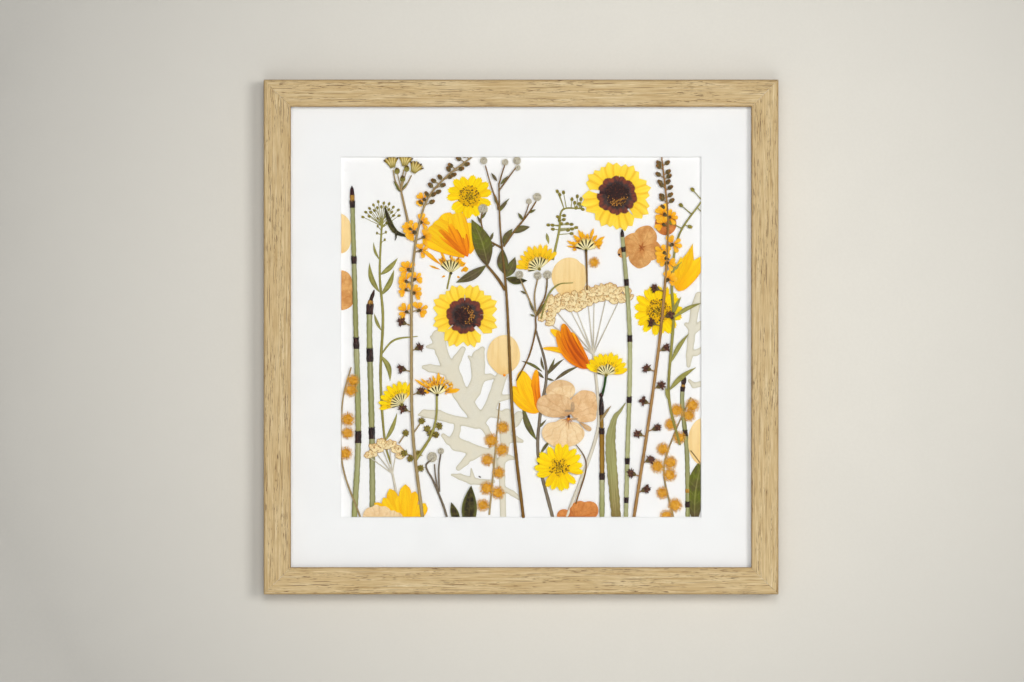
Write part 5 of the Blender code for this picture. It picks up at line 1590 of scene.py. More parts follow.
def make_petals():
    piece, rng = pressed("peach_petal_upper", "peach_petal", 301)
    outline_petal(piece, (30.2, 37.5), oval(11.0, 12.6, (48, 30, 1.8), (52, 14, -2.8),
                                              (215, 40, -0.7)), "peach", rng, tint=0.5)
    piece.build()
    piece, rng = pressed("peach_petal_centre", "peach_petal", 302)
    outline_petal(piece, (-11, -11.6), oval(10.4, 12.6, (70, 40, 0.6), (235, 40, -0.8),
                                                (300, 40, -0.8)), "peach", rng)
    dome(piece, (-10.5, -24.0), 0.9, "orange_streaked", 0.2, 0.2)
    piece.build()
    piece, rng = loose("peach_petal_far_left", 0, "peach_petal", 303)
    outline_petal(piece, (-114.5, 65.5), oval(8.0, 12.4, (290, 40, 1.0)), "peach", rng)
    piece.build(clip=True)
    piece, rng = loose("peach_petal_far_right", 0, "peach_petal", 304)
    outline_petal(piece, (116.0, -66.0), oval(10.8, 15.5), "peach", rng)
    strand(piece, [(106.8, -71.5), (110, -75.5), (113.6, -80.5)], [0.7, 0.6], "brown_stem",
           0.15, lift=0.3)
    piece.build(clip=True)
    piece, rng = pressed("hydrangea_floret_right", "tan_petal", 305)
    eye = (75.9, 56.3)
    for k, (turn, reach, wide, tall) in enumerate(((262, 5.6, 7.4, 7.0), (70, 6.8, 7.4, 7.2),
                                                   (150, 5.4, 6.2, 6.6), (345, 5.8, 6.8, 6.6))):
        inward = math.radians(turn + 180)
        outline_petal(piece, polar(eye, reach, turn), oval(wide, tall, (turn, 30, 0.7)), "tan",
                      rng, foot=(0.8 * math.cos(inward), 0.8 * math.sin(inward)),
                      lift=0.02 + 0.07 * k, tint=0.25 + 0.15 * k)
    outline_petal(piece, (64.6, 53.2), oval(3.8, 3.6), "tan", rng, foot=(0.9, 0.4), tint=0.3)
    for turn in (20, 75, 130, 200, 250, 310):
        blade(piece, (75.9, 56.3), polar((75.9, 56.3), rng.uniform(2.0, 4.2), turn), 0.9,
              "orange_mark", "leaf", 0.3, rows=5, columns=3, lift=(0.46, 0.40), crown=0.03)
    dome(piece, (61.8, 52.0), 0.8, "floret_dark", 0.2, 0.3)
    piece.build()
    piece, rng = loose("hydrangea_floret_far_left", 0, "tan_petal", 306)
    outline_petal(piece, (-113.5, 29.5), oval(9.6, 12.6, (40, 30, -1.2), (310, 40, 0.6)),
                  "tan", rng, foot=(-0.7, -0.5))
    piece.build(clip=True)
    piece, rng = loose("tan_floret_behind_agrimony", 0, "tan_petal", 307)
    outline_petal(piece, (91.1, 71.3), oval(6.8, 7.2), "rust", rng)
    piece.build()
    piece, rng = loose("rust_floret", 1, "tan_petal", 308)
    outline_petal(piece, (27.0, -112.6), oval(4.4, 4.2), "rust", rng, foot=(0.9, -0.3))
    outline_petal(piece, (39.2, -109.6), oval(9.6, 6.6, (82, 20, -1.2), (35, 30, 0.8)),
                  "rust", rng, foot=(-0.5, -0.5), lift=0.16)
    piece.build(clip=True)


def make_pansy():
    piece, rng = pressed("pansy", "tan_petal", 311)
    outline_petal(piece, (24.8, -33.6), oval(9.4, 6.6, (150, 40, -0.6)), "pansy_pale", rng,
                  foot=(0.5, -1.6), lift=0.0, crown=0.08)
    outline_petal(piece, (39.4, -43.6), oval(8.6, 10.2, (50, 26, 1.6), (310, 26, 2.0),
                                             (120, 24, -0.8), (200, 30, 0.8)), "pansy", rng,
                  foot=(-0.85, -0.6), lift=0.06, tint=0.6)
    outline_petal(piece, (21.4, -43.2), oval(11.6, 7.4, (150, 40, 0.8), (330, 30, 1.2)),
                  "pansy", rng, foot=(0.75, -0.55), lift=0.14, tint=0.2)
    outline_petal(piece, (26.6, -60.4), oval(13.6, 9.0, (60, 30, -2.0), (125, 26, -1.6),
                                             (20, 16, -1.0), (250, 40, 0.6)), "pansy_pale",
                  rng, foot=(0.25, 0.8), lift=0.12, tint=0.5)
    blade(piece, (36.5, -53.5), (44.2, -58.8), 3.6, "pansy", "petal", lift=(0.06, 0.06))
    for place, wide, tall in (((32.5, -44.0), 1.3, 3.4), ((29.5, -46.5), 2.2, 0.8),
                              ((33.5, -51.5), 2.6, 0.7), ((26.0, -50.5), 2.2, 0.6)):
        outline_petal(piece, place, oval(wide, tall), "smudge", rng, lift=0.34, crown=0.02,
                      rings=5, thin=0.02, wrinkle=0.01)
    for turn in (205, 232, 252, 270, 290, 312):
        blade(piece, (30.0, -50.8), polar((30.0, -50.8), rng.uniform(4.5, 8.0), turn), 0.55,
              "vein", "leaf", 0.3, rows=8, columns=3, lift=(0.42, 0.34), crown=0.02)
    dome(piece, (29.9, -51.6), 1.2, "orange_streaked", 0.12, 0.38)
    dome(piece, (30.1, -50.0), 0.95, "floret_dark", 0.12, 0.44)
    piece.build()


# ---------------------------------------------------------------- sprigs

MAIN_STEM = [(-14, 97), (-13, 67), (-9, 24), (-5, -54), (1.5, -114)]


def beside(route, first, last, count, reach, rng, rise=2.0, sides=(1, -1), loose_fit=0.15):
    """Places beside a stem, on each of the given sides in turn, between two shares of it.

    The greater loose_fit, the less even their spacing and their distance from the stem."""
    path, _ = route_points(route, 240)
    places = []
    for i in range(count):
        step = (last - first) / max(1, count - 1)
        share = first + step * (i + rng.uniform(-2.2, 2.2) * loose_fit)
        at = min(238, max(1, int(share * 239)))
        along = path[at + 1] - path[at - 1]
        across = np.array([along[1], -along[0]]) / np.linalg.norm(along)
        out = reach * sides[i % len(sides)] * rng.uniform(1 - loose_fit, 1 + loose_fit)
        place = path[at] + across * out
        places.append((place[0], place[1] + rise + rng.uniform(-0.8, 0.8)))
    return places


def tuft_of(centre, spread, count, turn=0.0):
    """Places that fill a round tuft evenly, as seeds fill a flower head."""
    return [polar(centre, spread * math.sqrt((i + 0.5) / count), turn + 137.5 * i)
            for i in range(count)]


def make_button_sprigs():
    piece, rng = pressed("button_sprig_stem", "brown_stem", 401)
    strand(piece, MAIN_STEM, [0.9, 1.3, 1.7, 1.9, 2.0, 2.0], "brown_stem", 0.4, lift=0.02)
    for route in ([(-14.5, 83), (-18.5, 94), (-22.5, 108)], [(-14, 96), (-12, 103), (-10, 109)],
                  [(-14, 92), (-7.5, 101), (-3, 107)], [(-14.4, 80), (-15.5, 87), (-17, 90)]):
        strand(piece, route, [1.0, 0.7], "brown_stem", 0.25, lift=0.02)
    buttons(piece, [(-23.5, 111, 2.6), (-10, 110, 2.4), (-2.5, 111, 2.8), (-2, 106.5, 2.0)], rng, lift=0.0)
    leaves(piece, "dull_leaf", [((-15, 98), (-18.8, 103.4), 1.8), ((-14.4, 83), (-17.2, 89), 1.9),
        ((-13, 96), (-8, 101.6), 1.6), ((-14.4, 80), (-7.2, 87.4), 1.6),
        ((-14.2, 78.5), (-8.6, 84.8), 1.4)], lift=(0.02, 0.1), crown=0.08)
    piece.build()
    piece, rng = pressed("button_sprig_left_branch", "brown_stem", 402)
    strand(piece, [(-12, 56), (-16, 58.3), (-20.5, 61), (-23.5, 66), (-25.2, 73.5),
                   (-24, 80.5)], [1.4, 1.1, 0.9, 0.8], "brown_stem", 0.35)
    strand(piece, [(-20.8, 61.2), (-24, 65.5)], [0.8, 0.6], "brown_stem", 0.25)
    buttons(piece, [(-24, 80.8, 3.4), (-24.3, 66.0, 2.0)], rng)
    leaves(piece, "dull_leaf", [((-25.4, 74), (-21.5, 79.5), 1.6), ((-25, 71), (-27.6, 76.5), 1.5),
        ((-19.5, 60.6), (-17.4, 66.0), 1.8), ((-16, 58.2), (-21.4, 56.0), 1.6)], lift=(0.1, 0.2))
    piece.build()
    piece, rng = pressed("button_sprig_right_branch", "brown_stem", 403)
    strand(piece, [(-11, 57), (-4, 67), (1, 73), (5.5, 79), (9.5, 85.5)], [1.3, 1.1, 0.8],
           "brown_stem", 0.35)
    strand(piece, [(1, 73), (3.4, 79), (5, 84)], [0.8, 0.6], "brown_stem", 0.25)
    buttons(piece, [(10.2, 88.2, 3.0), (5, 85.4, 2.1)], rng)
    blade(piece, (-5.2, 65.6), (5.8, 69.4), 4.2, "dull_leaf", bend=0.06, seed=1.3)
    blade(piece, (-11.0, 57.5), (-5.3, 68.3), 4.6, "dull_leaf", bend=0.06, seed=2.1)
    blade(piece, (1.4, 73.4), (-2.0, 78.4), 1.8, "dull_leaf", seed=3.1)
    blade(piece, (4.6, 78.0), (9.4, 80.4), 1.6, "dull_leaf", seed=4.1)
    blade(piece, (-10.2, 39.5), (-11.6, 56.0), 7.0, "dull_leaf", bend=0.05, rows=18,
          columns=9, seed=5.1)
    blade(piece, (-9.8, 37.5), (-3.6, 50.5), 6.0, "dull_leaf", bend=-0.05, rows=18,
          columns=9, seed=6.1)
    blade(piece, (-9.6, 37.0), (4.0, 35.6), 4.9, "dark_leaf", bend=-0.06, rows=16, seed=7.1)
    piece.build()
    piece, rng = pressed("button_sprig_lower_left", "brown_stem", 404)
    strand(piece, [(-56, -77), (-59.8, -80.5), (-58.5, -85), (-56, -89), (-52.4, -97.5),
                   (-49, -106), (-46.5, -114)], [1.0, 1.3, 1.5], "grey_stem", 0.4)
    strand(piece, [(-50.5, -73.5), (-51.8, -83), (-51.4, -97.5)], [0.9, 1.1], "grey_stem", 0.3)
    strand(piece, [(-54.5, -80), (-53.8, -88), (-52.2, -97.5)], [0.8, 1.0], "grey_stem", 0.3)
    buttons(piece, [(-56, -75.6, 3.7), (-50.5, -71.8, 2.3)], rng)
    piece.build(clip=True)


def make_leaf_sprigs():
    piece, rng = pressed("leaf_pair_sprig", "olive_leaf", 411)
    strand(piece, [(-21.7, 45.4), (-18, 41), (-14, 36), (-10, 29.5)], [1.5, 1.8, 1.9],
           "brown_stem", 0.4)
    blade(piece, (-21.0, 44.5), (-31.2, 74.2), 11.6, "green_leaf", bend=-0.05, rows=26,
          columns=13, belly=0.45, crown=0.18, seed=1.7)
    blade(piece, (-21.6, 45.4), (-41.0, 34.3), 5.9, "dull_leaf", bend=0.05, rows=22,
          columns=11, belly=0.5, seed=2.7)
    piece.build()
    piece, rng = pressed("centre_trio_sprig", "brown_stem", 412)
    strand(piece, [(-1, 37.5), (5, 24), (9.5, 13.5)], [0.9, 1.1], "khaki_stem", 0.3)
    strand(piece, [(10.5, 37), (8.5, 26), (9.5, 13.5)], [0.9, 1.1], "khaki_stem", 0.3)
    strand(piece, [(16.5, 37.4), (15.2, 26), (9.5, 13.5), (9.2, 4.5), (5, -12), (-3, -27.5)],
           [0.9, 1.0, 1.1, 1.0, 0.8], "brown_stem", 0.35)
    buttons(piece, [(-1, 39.2, 2.9), (10.5, 38.7, 2.9), (16.6, 39.2, 3.1)], rng, dark=0.6)
    strand(piece, [(12.5, 11.5), (17, 26), (23.5, 33), (32.8, 34.2)], [0.9, 1.2, 0.4],
           "sprig_leaf", 0.25)
    leaves(piece, "dull_leaf", [((8.8, 15), (5, 22.4), 1.5), ((8.8, 13), (5.4, 14.4), 1.2),
        ((10, 13), (14.8, 21.6), 1.5), ((15.6, 28), (16.8, 36), 1.2),
        ((3.6, 27), (-0.4, 29.2), 1.2)], lift=(0.15, 0.2), crown=0.08)
    piece.build()
    piece, rng = pressed("leafy_stem_centre", "olive_leaf", 413)
    strand(piece, [(9.5, 4), (16, -22), (12, -49), (11, -76), (20, -114)],
           [1.2, 1.8, 2.0, 2.1, 2.2], "grey_stem", 0.4)
    leaves(piece, "dull_leaf", [((14.6, -21), (12.6, -12.0), 1.6, 0.05),
        ((16.4, -23), (21.2, -13.2), 1.8, -0.05), ((16.6, -24), (27.4, -13.6), 2.0, 0.05),
        ((21, -27.5), (36.8, -18.2), 2.2, 0.05), ((15.8, -26), (21, -27.5), 1.4, 0.0),
        ((13.6, -22), (0, -15), 1.8, -0.06), ((14.5, -26), (9.3, -20.4), 1.8, 0.04),
        ((9.8, -65), (1.0, -42), 3.9, 0.07), ((12, -74), (20, -64), 1.9, 0.05),
        ((10.4, -58), (16, -52), 1.5, 0.0)], rows=16)
    piece.build(clip=True)
    piece, rng = pressed("dark_leaf_bottom", "olive_leaf", 414)
    blade(piece, (-32.6, -124), (-31.4, -93.4), 9.6, "dark_leaf", bend=0.02, rows=26,
          columns=13, belly=0.5, crown=0.18, seed=4.4)
    piece.build(clip=True)
    piece, rng = loose("small_dark_leaf", 2, "olive_leaf", 415)
    blade(piece, (-39.0, -120.0), (-44.0, -104.0), 5.2, "dark_leaf", rows=18, columns=11,
          belly=0.5, seed=5.4)
    piece.build(clip=True)
    piece, rng = loose("green_leaf_far_right", 0, "olive_leaf", 416)
    blade(piece, (110.0, -122), (115.5, -74), 12.0, "green_leaf", rows=26, columns=13,
          belly=0.55, bend=0.06, crown=0.18, seed=7.4)
    piece.build(clip=True)
    piece, rng = pressed("grass_blade", "olive_leaf", 417)
    strand(piece, [(65.8, -41.5), (62.5, -46.5), (59, -51.0), (56.6, -62), (56.6, -72),
                   (57.5, -85), (60, -114)], [0.5, 3.0, 5.6, 6.6, 6.5, 6.3, 6.2, 6.0],
           "grass", 0.22, sides=13, step=1.2)
    piece.build(clip=True)
    piece, rng = loose("grass_tip", 3, "olive_leaf", 418)
    strand(piece, [(56.6, -43.4), (53.5, -47.5), (49.6, -53.4)], [0.3, 1.5, 1.9, 0.6],
           "khaki_stem", 0.2)
    piece.build()
    piece, rng = loose("curved_dark_stem", 2, "brown_stem", 419)
    strand(piece, [(32, -64), (41, -80), (34.5, -105)], [0.4, 0.8, 0.9, 0.8],
           "brown_stem", 0.35)
    piece.build()


def make_agrimony():
    """Two tall spikes: crowded buds at the top, then star flowers, then ripe fruits."""
    arch = [(-30, 114), (-48, 100), (-61, 82), (-68, 45), (-69, -10), (-68, -62), (-62, -114)]
    piece, rng = pressed("agrimony_spike_left", "straw_stem", 421)
    spray(piece, arch, beside(arch, 0.19, 0.48, 13, 5.4, rng, loose_fit=0.42),
          beside(arch, 0.02, 0.18, 17, 2.6, rng, rise=0.5, loose_fit=0.3),
          beside(arch, 0.51, 0.74, 5, 6.0, rng), rng, "khaki_stem")
    piece.build(clip=True)
    lean = [(88.5, 114), (92.5, 70), (89, 15), (82, -42), (71, -114)]
    piece, rng = pressed("agrimony_spike_right", "straw_stem", 422)
    spray(piece, lean, beside(lean, 0.16, 0.33, 8, 4.4, rng, loose_fit=0.35),
          beside(lean, 0.02, 0.14, 15, 2.5, rng, rise=0.5, loose_fit=0.3),
          beside(lean, 0.39, 0.94, 12, 5.4, rng), rng, "tan_stem")
    piece.build(clip=True)


def spray(piece, route, flowers, buds, seeds, rng, finish):
    """A tall hairy stem set with buds at the top, then flowers, then ripe fruits."""
    strand(piece, route, [0.9, 1.3, 1.8, 1.9, 2.0, 2.1], finish, 0.42, lift=0.0, step=1.2)
    hairs_along(piece, route, 300, 1.0, rng, "fluff", 1.7, 0.05)
    path, _ = route_points(route, 400)

    def stalk(place, drop, share, widths, thick):
        """Part of the way from a lower place on the stem. Returns its direction."""
        order = abs(path[:, 1] - (place[1] - drop))
        root = tuple(path[int(order.argmin())])
        strand(piece, [root, between(root, place, share)], widths, finish, thick, step=0.8)
        return bearing(root, place)

    for place in flowers:
        facing = stalk(place, 2.6, 0.6, [0.8, 0.7], 0.25)
        small_flower(piece, place, rng.uniform(4.6, 6.2), facing + rng.uniform(-15, 15), rng)
    for place in buds:
        facing = stalk(place, 2.0, 0.8, [0.7, 0.6], 0.22)
        bud(piece, place, 3.6, 2.8, facing, rng, "calyx", "dark_bract")
        dome(piece, polar(place, 1.1, facing), 1.15, "bud", 0.3, 0.15, rng.uniform(0, 1), 8, 4)
    for place in seeds:
        facing = stalk(place, 2.2, 0.6, [0.8, 0.7], 0.25)
        seed_crown(piece, place, 4.0, facing, rng)


def stalked_bud(piece, root, place, widths, length, width, rng):
    """An olive bud at the end of a short green stalk."""
    strand(piece, [root, between(root, place, 0.85)], widths, "green_stem", 0.2)
    bud(piece, place, length, width, bearing(root, place), rng, "bud_green", "bract")


def make_umbels():
    piece, rng = pressed("umbel_sprig_left", "green_stem", 431)
    stem = [(-87.5, 75), (-89, 40), (-87, 12), (-88.5, -25), (-86, -64), (-82, -80)]
    strand(piece, stem, [1.1, 1.4, 1.7, 1.8, 1.6, 1.2], "green_stem", 0.35)
    leaves(piece, "sprig_leaf", [((-89, 48.5), (-93, 60), 1.6, 0.08),
        ((-89, 39), (-77.5, 50), 3.2, -0.06), ((-89, 28), (-95.5, 47), 3.3, 0.1),
        ((-88.5, 26), (-80, 42.5), 3.4, -0.08), ((-88.5, -11.5), (-82.5, -28), 3.4, 0.12),
        ((-86, -66), (-78, -47.5), 2.6, -0.05), ((-88, 4), (-92.5, 15), 2.0, 0.05)], rows=18,
        columns=9)
    strand(piece, [(-88.5, -11.5), (-80, -2), (-65, 0.5)], [0.9, 1.4, 0.5],
           "sprig_leaf", 0.2)
    crown = (-87.5, 73)
    rays_of_crown = 19
    for i in range(rays_of_crown):
        turn = 18 + 150 * i / (rays_of_crown - 1)
        place = polar(crown, (12.0, 8.6)[i % 2] * rng.uniform(0.92, 1.06), turn)
        root = (crown[0], crown[1] - rng.uniform(0, 5))
        strand(piece, [root, between(root, place, 0.6), place], [0.42, 0.34],
               "green_stem", 0.2)
        bud(piece, place, 2.2, 1.6, turn, rng, "bud_green", "bract")
    path = route_points(stem, 60)[0].tolist()
    for place in beside(stem, 0.02, 0.10, 6, 2.6, rng):
        near = min(path, key=lambda p: math.dist(p, (place[0], place[1] - 1.5)))
        strand(piece, [near, place], [0.5, 0.4], "green_stem", 0.2)
        bud(piece, place, 1.8, 1.3, 90, rng, "bud_green", "bract")
    piece.build()
    piece, rng = pressed("umbel_sprig_centre", "green_stem", 432)
    stem = [(20, 48.5), (24, 67), (26, 80), (37.5, 81)]
    strand(piece, stem, [1.6, 1.5, 1.2, 0.9], "green_stem", 0.35)
    path = route_points(stem, 60)[0].tolist()
    tufts = (((25, 90.5), 2.6, 3), ((36.5, 85), 5.2, 9), ((25, 74), 3.4, 5),
             ((19, 70), 2.6, 3), ((31.5, 69), 4.0, 6))
    for centre, spread, count in tufts:
        for place in tuft_of(centre, spread, count, rng.uniform(0, 360)):
            near = min(path, key=lambda p: math.dist(p, place) + (2 if p[1] > place[1] else 0))
            stalked_bud(piece, near, place, [0.6, 0.4], 2.7, 2.0, rng)
    blade(piece, (16, 65.5), (17.5, 58.5), 2.0, "sprig_leaf")
    piece.build()
    piece, rng = pressed("cress_sprig_right", "green_stem", 433)
    stem = [(114, 86), (99, 63), (95, 34), (96, 10), (93, -36), (100, -68)]
    strand(piece, stem, [1.0, 1.3, 1.7, 1.8, 1.7, 1.5], "green_stem", 0.35)
    for place in beside(stem, 0.01, 0.17, 5, 6.5, rng, rise=4.0):
        near = min(route_points(stem, 60)[0].tolist()[:16], key=lambda p: math.dist(p, place))
        stalked_bud(piece, near, place, [0.7, 0.5], 3.2, 2.3, rng)
    leaves(piece, "sprig_leaf", [((96, 12), (114, 21.5), 2.6, 0.06),
        ((96, 14), (101, 25.5), 2.2, 0.05), ((94.5, -16), (106, 2.5), 2.8, 0.05),
        ((93, -34), (110.5, -19), 3.2, 0.06), ((93, -40), (91, -31.5), 2.2, 0.0),
        ((95.5, 40), (101.5, 47.5), 2.0, 0.05)], rows=18, columns=9)
    piece.build(clip=True)


def make_tansy():
    """Cups of a tansy cut by the window's top edge, with a dark curved leaf lower down."""
    piece, rng = pressed("tansy_sprig", "brown_stem", 441)
    stem = [(-75.5, 92), (-74, 85), (-71.5, 74), (-70, 64.5), (-67, 60)]
    strand(piece, stem, [1.2, 1.5, 1.5, 1.2], "khaki_stem", 0.4)
    for head, joint in (((-81.5, 110), (-79, 98)), ((-73, 111), (-75.2, 97)),
                        ((-66.5, 106.5), (-72.5, 95))):
        strand(piece, [(-75.5, 92), joint, (head[0] * 0.6 + joint[0] * 0.4,
                                            head[1] * 0.6 + joint[1] * 0.4)], [1.0, 0.8],
               "khaki_stem", 0.3)
        facing = bearing(joint, head)
        foot = polar(head, 4.0, facing + 180)
        calyx(piece, foot, facing, 8.4, 9.4, rng, 9, 0.1)
    for x, z in ((-78, 104.5), (-72, 106), (-74.5, 99.5)):
        strand(piece, [(-75.4, 93), (x, z - 1)], [0.7, 0.6], "khaki_stem", 0.25)
        bud(piece, (x, z), 4.2, 3.4, 90, rng, "bud_green", "dark_bract")
    for tip in ((-80.5, 98.5), (-71.0, 98.0), (-78.8, 94.5)):
        blade(piece, (-75.6, 91.5), tip, 1.5, "green_leaf")
    leaf = [(-85.8, 81.4), (-83.8, 75.5), (-81.4, 69.4), (-78.0, 65.6), (-72.5, 63.6)]
    strand(piece, leaf, [0.8, 2.8, 3.4, 2.8, 1.4], "dark_leaf", 0.25, sides=11)
    strand(piece, [(-79.0, 66.2), (-78.6, 63.2), (-79.4, 60.8)], [1.6, 1.0, 0.4],
           "dark_leaf", 0.25)
    piece.build(clip=True)


def straw_head(piece, centre, size, direction, rng):
    """A papery everlasting head seen from the side: overlapping cream scales edged in brown."""
    foot = polar(centre, -size * 0.55, direction)
    for row, (count, reach, spread, wide) in enumerate(((5, 1.15, 44, 0.55), (5, 0.92, 52, 0.55),
                                                        (4, 0.68, 50, 0.55), (3, 0.42, 40, 0.5))):
        for i in range(count):
            turn = direction + (i - (count - 1) / 2) * 2 * spread / count + rng.uniform(-6, 6)
            blade(piece, foot, polar(foot, size * reach * rng.uniform(0.92, 1.05), turn),
                  size * wide, "straw", "petal", rows=10, columns=9,
                  lift=(0.05 + 0.07 * row, 0.05 + 0.06 * row), crown=0.12,
                  tint=rng.uniform(0.2, 0.9), seed=rng.uniform(0, 9))
    for i in range(5):
        turn = direction + rng.uniform(-40, 40)
        spike(piece, polar(foot, size * 0.5, turn), polar(foot, size * rng.uniform(0.9, 1.1), turn),
              0.14, "straw_edge", (0.3, 0.35), rng.uniform(0, 1))


HEAD_PITCH = 4.4            # from one papery head to the next


def straw_band(piece, band, half_width, meet, size, rng, stems, rows=3):
    """Papery heads crowded in staggered rows along a bowed band, over stems that meet."""
    _, run = route_points(band, 60)
    count = int(run[-1] / HEAD_PITCH)
    path, _ = route_points(band, count + 1)
    for k in range(stems):
        low = path[int((k + 0.5) * count / stems)]
        strand(piece, [meet, between(meet, low, 0.45), tuple(low)], [0.8, 0.6],
               "white_stem", 0.22, tint=rng.uniform(0.2, 0.9))
    for row in range(rows):
        for i in range(count):
            here = path[i] + (path[i + 1] - path[i]) * (0.25 + 0.5 * (row % 2))
            facing = bearing(meet, here)
            wander = 1.6 * math.sin(i * 1.1) + rng.uniform(-1.1, 1.1)
            place = polar(here, half_width * (1 - row) + wander, facing)
            straw_head(piece, place, size * rng.uniform(0.85, 1.25),
                       facing + rng.uniform(-45, 45), rng)


def make_strawflowers():
    piece, rng = pressed("strawflower_large", "straw_flower", 451)
    meet = (45.5, -11)
    straw_band(piece, [(16, 10), (24, 22), (40, 23), (54, 29.5), (67, 23)], 3.0, meet, 4.8, rng, 8)
    strand(piece, [meet, (48.5, -41), (47, -64), (28.5, -114)], [1.6, 2.0, 2.2, 2.3, 2.2],
           "white_stem", 0.4)
    piece.build(clip=True)
    piece, rng = pressed("strawflower_small", "straw_flower", 452)
    meet = (-81, -86)
    straw_band(piece, [(-95, -76), (-85, -69.5), (-74, -73)], 2.6, meet, 4.6, rng, 5, rows=2)
    strand(piece, [meet, (-79, -96), (-77.5, -106)], [1.4, 1.6], "white_stem", 0.3)
    piece.build(clip=True)


def make_mimosa():
    sprigs = (("mimosa_left", [(-107, -19), (-112.5, -42), (-112.5, -80), (-101, -114)],
               5, 0.03, 0.56, (-1,), 461),
              ("mimosa_centre", [(-13.5, -41.5), (-17, -80), (-20, -112)],
               8, 0.18, 0.98, (-1, 1), 462),
              ("mimosa_right", [(107, -38), (97, -60), (90, -84), (96, -114)],
               12, 0.02, 0.96, (-1, 1), 463))
    for node, stem, count, first, last, sides, seed in sprigs:
        piece, rng = pressed(node, "mimosa_puff", seed)
        strand(piece, stem, [0.9, 1.1, 1.2], "khaki_stem", 0.3)
        path = route_points(stem, 60)[0].tolist()
        for place in beside(stem, first, last, count, 3.6, rng, rise=1.0, sides=sides,
                            loose_fit=0.25):
            near = min(path, key=lambda p: math.dist(p, place))
            strand(piece, [near, place], [0.7, 0.5], "khaki_stem", 0.2)
            fuzz_ball(piece, place, rng.uniform(4.4, 5.3), rng)
        piece.build(clip=True)
    piece, rng = loose("mimosa_ball_upper", 2, "mimosa_puff", 464)
    fuzz_ball(piece, (46, 47), 3.9, rng)
    piece.build()


# ---------------------------------------------------------------- felted leaves

RIB_BLEND = 0.9             # how softly the ribs of a felted leaf join
FELT_LIFT = 0.05
FELT_THICK = 0.08


def capsules_distance(x, z, ribs):
    """Signed distance to smoothly joined tapered ribs ((x, z, half width) to the same)."""
    total = np.full(x.shape, 50.0)
    for (ax, az, ar), (bx, bz, br) in ribs:
        dx, dz = bx - ax, bz - az
        t = np.clip(((x - ax) * dx + (z - az) * dz) / (dx * dx + dz * dz + 1e-9), 0, 1)
        d = np.hypot(x - ax - dx * t, z - az - dz * t) - (ar + (br - ar) * t)
        mixing = np.clip(0.5 + 0.5 * (total - d) / RIB_BLEND, 0, 1)
        total = total + (d - total) * mixing - RIB_BLEND * mixing * (1 - mixing)
    return total


def felted_leaf(piece, chains, finish, cell):
    """A lobed leaf from chains of (x, z, half width). Its rim follows the ribs' outline."""
    ribs = [(chain[i], chain[i + 1]) for chain in chains for i in range(len(chain) - 1)]
    every = np.array([p for chain in chains for p in chain])
    low = every[:, :2].min(0) - every[:, 2].max() - 2
    high = every[:, :2].max(0) + every[:, 2].max() + 2
    xs = np.arange(low[0], high[0], cell)
    zs = np.arange(low[1], high[1], cell)
    x, z = np.meshgrid(xs, zs, indexing="ij")
    d = capsules_distance(x, z, ribs)
    inside = d < 0
    corners = inside[:-1, :-1] | inside[1:, :-1] | inside[:-1, 1:] | inside[1:, 1:]
    px, pz = x.copy(), z.copy()
    for _ in range(3):
        e = 0.05
        value = capsules_distance(px, pz, ribs)
        gx = (capsules_distance(px + e, pz, ribs) - value) / e
        gz = (capsules_distance(px, pz + e, ribs) - value) / e
        norm = gx * gx + gz * gz + 1e-6
        move = np.where(inside, 0.0, value)
        px = px - gx * move / norm
        pz = pz - gz * move / norm
    depth = np.clip(-d, 0, 3)
    h = FELT_LIFT + 0.16 * (1 - np.exp(-depth / 0.8)) + 0.05 * np.sin(px * 0.9) * np.sin(pz * 0.7)
    rim = np.exp(-depth / 0.35)
    number = -np.ones(x.shape, int)
    used = np.zeros(x.shape, bool)
    for di in (0, 1):
        for dj in (0, 1):
            used[di:di + corners.shape[0], dj:dj + corners.shape[1]] |= corners
    number[used] = np.arange(used.sum())
    count = int(used.sum())
    front = np.stack([px[used], h[used] + FELT_THICK, pz[used]], 1)
    back = np.stack([px[used], h[used] * 0.4, pz[used]], 1)
    faces = []
    edges = {}
    for i, j in zip(*np.nonzero(corners)):
        face = [int(number[i, j]), int(number[i + 1, j]), int(number[i + 1, j + 1]),
                int(number[i, j + 1])]
        faces.append(face)
        faces.append([count + n for n in reversed(face)])
        for a, b in zip(face, face[1:] + face[:1]):
            edges[(a, b)] = True
    for a, b in edges:
        if (b, a) not in edges:
            faces.append([b, a, count + a, count + b])
    points = np.concatenate([front, back])
    flat = points[:, ::2]
    tint = np.concatenate([rim[used], rim[used]])
    piece.add(points, faces, flat * 0.01, flat, finish, tint)


